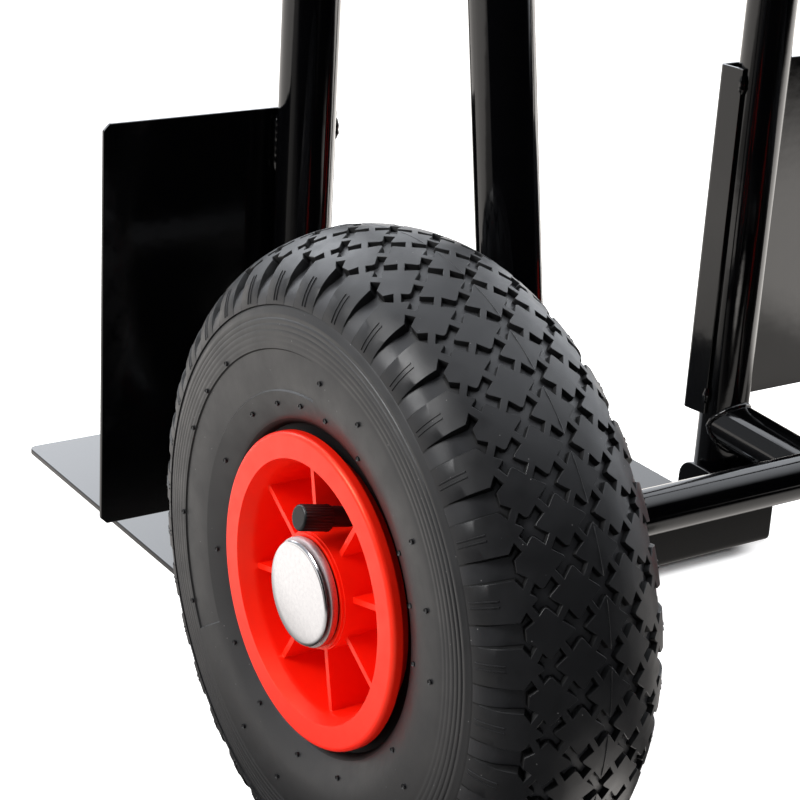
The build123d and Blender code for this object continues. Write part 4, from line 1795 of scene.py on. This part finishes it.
@dataclass
class Studio:
    """White floor, a bright sweep behind the truck, a dark room behind the camera, and the camera.

    Lights are measured in metres on the floor, and along directions in the room.
    """

    place: Point3 = (0.61938, 0.76385, 0.48633)
    right: Point3 = (-0.83636, 0.54529, 0.05638)
    up: Point3 = (-0.15503, -0.33391, 0.92978)
    back: Point3 = (0.52582, 0.76888, 0.36380)
    lens: float = 98.6
    sensor: float = 36.0
    near: float = 0.01
    floor_size: float = 40.0
    floor_slant: float = 0.4
    paper: str = "#efedea"
    mirrored_paper: str = "#fbf6f1"
    room_tint: str = "#f2f6fc"
    white: str = "#ffffff"
    # What a gloss sees of the floor: on the toe plate's side, far out on it, on the left and on the
    # right, under the axle, and a strip between the axle and the camera
    floor_lights: tuple[Patch, ...] = (
        Patch(1.4, (Edge("y", 0.17, -0.35), Edge("x", 0.62, 0.5, 0.3))),
        Patch(1.4, (Edge("y", 0.17, -0.35), Edge("y", -0.3, -0.42))),
        Patch(1.5, (Edge("x", 0.28, 0.38), Edge("x", 0.62, 0.5, 0.25), Edge("y", 0.5, -0.15))),
        Patch(2.8, (Edge("x", -0.34, -0.46), Edge("y", 0.85, 0.4))),
        Patch(1.0, (Edge("slant", 0.08, 0.055), Edge("y", 0.06, 0.1), Edge("y", 0.42, 0.31))),
        Patch(
            3.0,
            (Edge("x", 0.19, 0.16), Edge("x", 0.04, 0.09), Edge("y", 0.23, 0.28), Edge("y", 0.45, 0.33)),
        ),
    )
    # The floor glows to the eye, except in the contact shadow along the toe plate's rear edge
    contact: Patch = Patch(
        1.0, (Edge("spread", 0.15, 0.12), Edge("y", 0.007, -0.006), Edge("y", -0.05, -0.02))
    )
    glare: Patch = Patch(0.85, (Edge("contact", 1.0, 0.0),))
    ways: tuple[tuple[str, Point3], ...] = (
        ("sweep", (0.1, -0.995, 0.0)),
        ("top", (-0.3, -0.1, 0.95)),
        ("side", (-0.95, -0.28, 0.14)),
    )
    sweep: Patch = Patch(1.35, (Edge("sweep", -0.42, 0.5, 0.3111),))
    # What a gloss sees of the room: a soft box behind and above, the dome behind, and a light overhead
    room_lights: tuple[Patch, ...] = (
        Patch(
            4.4,
            (Edge("x", -0.72, -0.36), Edge("x", 0.42, 0.28), Edge("y", -0.45, -0.62), Edge("z", 0.05, 0.25)),
        ),
        Patch(0.5, (Edge("y", 0.0, -0.35),)),
        Patch(2.6, (Edge("top", 0.65, 0.95),)),
    )
    side_light: Patch = Patch(3.2, (Edge("side", 0.72, 0.96),))
    key_place: Point3 = (1.9, -0.4, 1.5)
    key_aim: Point3 = (0.15, 0.1, 0.15)
    key_size: float = 0.9
    key_power: float = 36.0

    def camera(self) -> None:
        """Adds the camera."""
        data = bpy.data.cameras.new("camera")
        data.lens = self.lens
        data.sensor_width = self.sensor
        data.clip_start = self.near
        camera = bpy.data.objects.new("camera", data)
        bpy.context.scene.collection.objects.link(camera)
        turn = Matrix((self.right, self.up, self.back)).transposed().to_4x4()
        camera.matrix_world = Matrix.Translation(self.place) @ turn
        bpy.context.scene.camera = camera

    def rays(self, tree: Tree) -> tuple[Socket, Light]:
        """Tells the rays apart that reach the floor or the room.

        Args:
            tree: Tree of the floor or of the room.

        Returns:
            1 for rays from the camera, and 1 for rays that a gloss or a clear piece sends.
        """
        path = add_node(tree, "ShaderNodeLightPath").outputs
        return path["Is Camera Ray"], brightest(tree, path["Is Glossy Ray"], path["Is Transmission Ray"])

    def floor(self) -> None:
        """Adds the floor: white to the eye, with the truck's shadow, and lit in patches for a gloss."""
        bpy.ops.object.select_all(action="DESELECT")
        bpy.ops.mesh.primitive_plane_add(size=self.floor_size)
        piece = bpy.context.active_object
        piece.name = "floor"
        made = bpy.data.materials.new("white_sweep")
        made.use_nodes = True
        tree = made.node_tree
        tree.nodes.clear()
        place = add_node(tree, "ShaderNodeTexCoord").outputs["Object"]
        axes = dict(zip("xyz", add_node(tree, "ShaderNodeSeparateXYZ", {0: place}).outputs))
        for name, operation, sockets in (
            ("spread", "ABSOLUTE", {0: axes["x"]}),
            ("slant", "MULTIPLY_ADD", {0: axes["y"], 1: self.floor_slant, 2: axes["x"]}),
        ):
            axes[name] = add_node(tree, "ShaderNodeMath", sockets, operation=operation).outputs[0]
        axes["contact"] = self.contact.shine(tree, axes)
        camera, gloss = self.rays(tree)
        eye = add_node(
            tree, "ShaderNodeMath", {0: camera, 1: self.glare.shine(tree, axes)}, operation="MULTIPLY"
        )
        paper = add_node(tree, "ShaderNodeBsdfDiffuse", {"Color": linear(self.paper)})
        glow = add_node(
            tree, "ShaderNodeEmission", {"Color": linear(self.white), "Strength": eye.outputs[0]}
        )
        lit = add_node(tree, "ShaderNodeAddShader", {0: paper.outputs[0], 1: glow.outputs[0]})
        lights = brightest(tree, *(patch.shine(tree, axes) for patch in self.floor_lights))
        mirrored = add_node(
            tree, "ShaderNodeEmission", {"Color": linear(self.mirrored_paper), "Strength": lights}
        )
        both = add_node(tree, "ShaderNodeMixShader", {0: gloss, 1: lit.outputs[0], 2: mirrored.outputs[0]})
        add_node(tree, "ShaderNodeOutputMaterial", {"Surface": both.outputs[0]})
        piece.data.materials.append(made)

    def world(self) -> None:
        """Sets the room: white to the eye, dark behind the camera, bright behind the truck."""
        world = bpy.data.worlds.new("studio")
        bpy.context.scene.world = world
        world.use_nodes = True
        tree = world.node_tree
        tree.nodes.clear()
        way = add_node(tree, "ShaderNodeTexCoord").outputs["Generated"]
        axes = dict(zip("xyz", add_node(tree, "ShaderNodeSeparateXYZ", {0: way}).outputs))
        for name, aim in self.ways:
            axes[name] = add_node(
                tree, "ShaderNodeVectorMath", {0: way, 1: aim}, operation="DOT_PRODUCT"
            ).outputs["Value"]
        camera, gloss = self.rays(tree)
        sky = brightest(tree, *(patch.shine(tree, axes) for patch in self.room_lights))
        around = add_node(
            tree,
            "ShaderNodeMix",
            {"Factor": gloss, 2: self.sweep.shine(tree, axes), 3: sky},
            data_type="FLOAT",
        )
        room = add_node(
            tree,
            "ShaderNodeMath",
            {0: around.outputs[0], 1: self.side_light.shine(tree, axes)},
            operation="ADD",
        )
        strength = add_node(
            tree, "ShaderNodeMix", {"Factor": camera, 2: room.outputs[0], 3: 1.0}, data_type="FLOAT"
        )
        colour = add_node(
            tree,
            "ShaderNodeMix",
            {"Factor": camera, 6: linear(self.room_tint), 7: linear(self.white)},
            data_type="RGBA",
        )
        light = add_node(
            tree, "ShaderNodeBackground", {"Color": colour.outputs[2], "Strength": strength.outputs[0]}
        )
        add_node(tree, "ShaderNodeOutputWorld", {"Surface": light.outputs[0]})

    def key(self) -> None:
        """Adds the key light, a square soft box that is hidden from the camera."""
        data = bpy.data.lights.new("key", "AREA")
        data.size = self.key_size
        data.energy = self.key_power
        lamp = bpy.data.objects.new("key", data)
        lamp.visible_camera = False
        bpy.context.scene.collection.objects.link(lamp)
        way = Vector(self.key_aim) - Vector(self.key_place)
        turn = way.to_track_quat("-Z", "Y").to_matrix().to_4x4()
        lamp.matrix_world = Matrix.Translation(self.key_place) @ turn

    def build(self) -> None:
        """Sets up the camera, the floor, the room and the key light."""
        self.camera()
        self.floor()
        self.world()
        self.key()
        bpy.context.scene.view_settings.view_transform = "Standard"


def main() -> None:
    """Builds the truck's looks piece by piece."""
    logging.basicConfig(level=logging.INFO, format="%(message)s")
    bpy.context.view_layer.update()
    Studio().build()
    Tyre().dress()
    for group in CARRIED:
        group.build()
    WheelEnds().build()
    Grip().build()
    Welds().build()


if __name__ == "__main__":
    main()
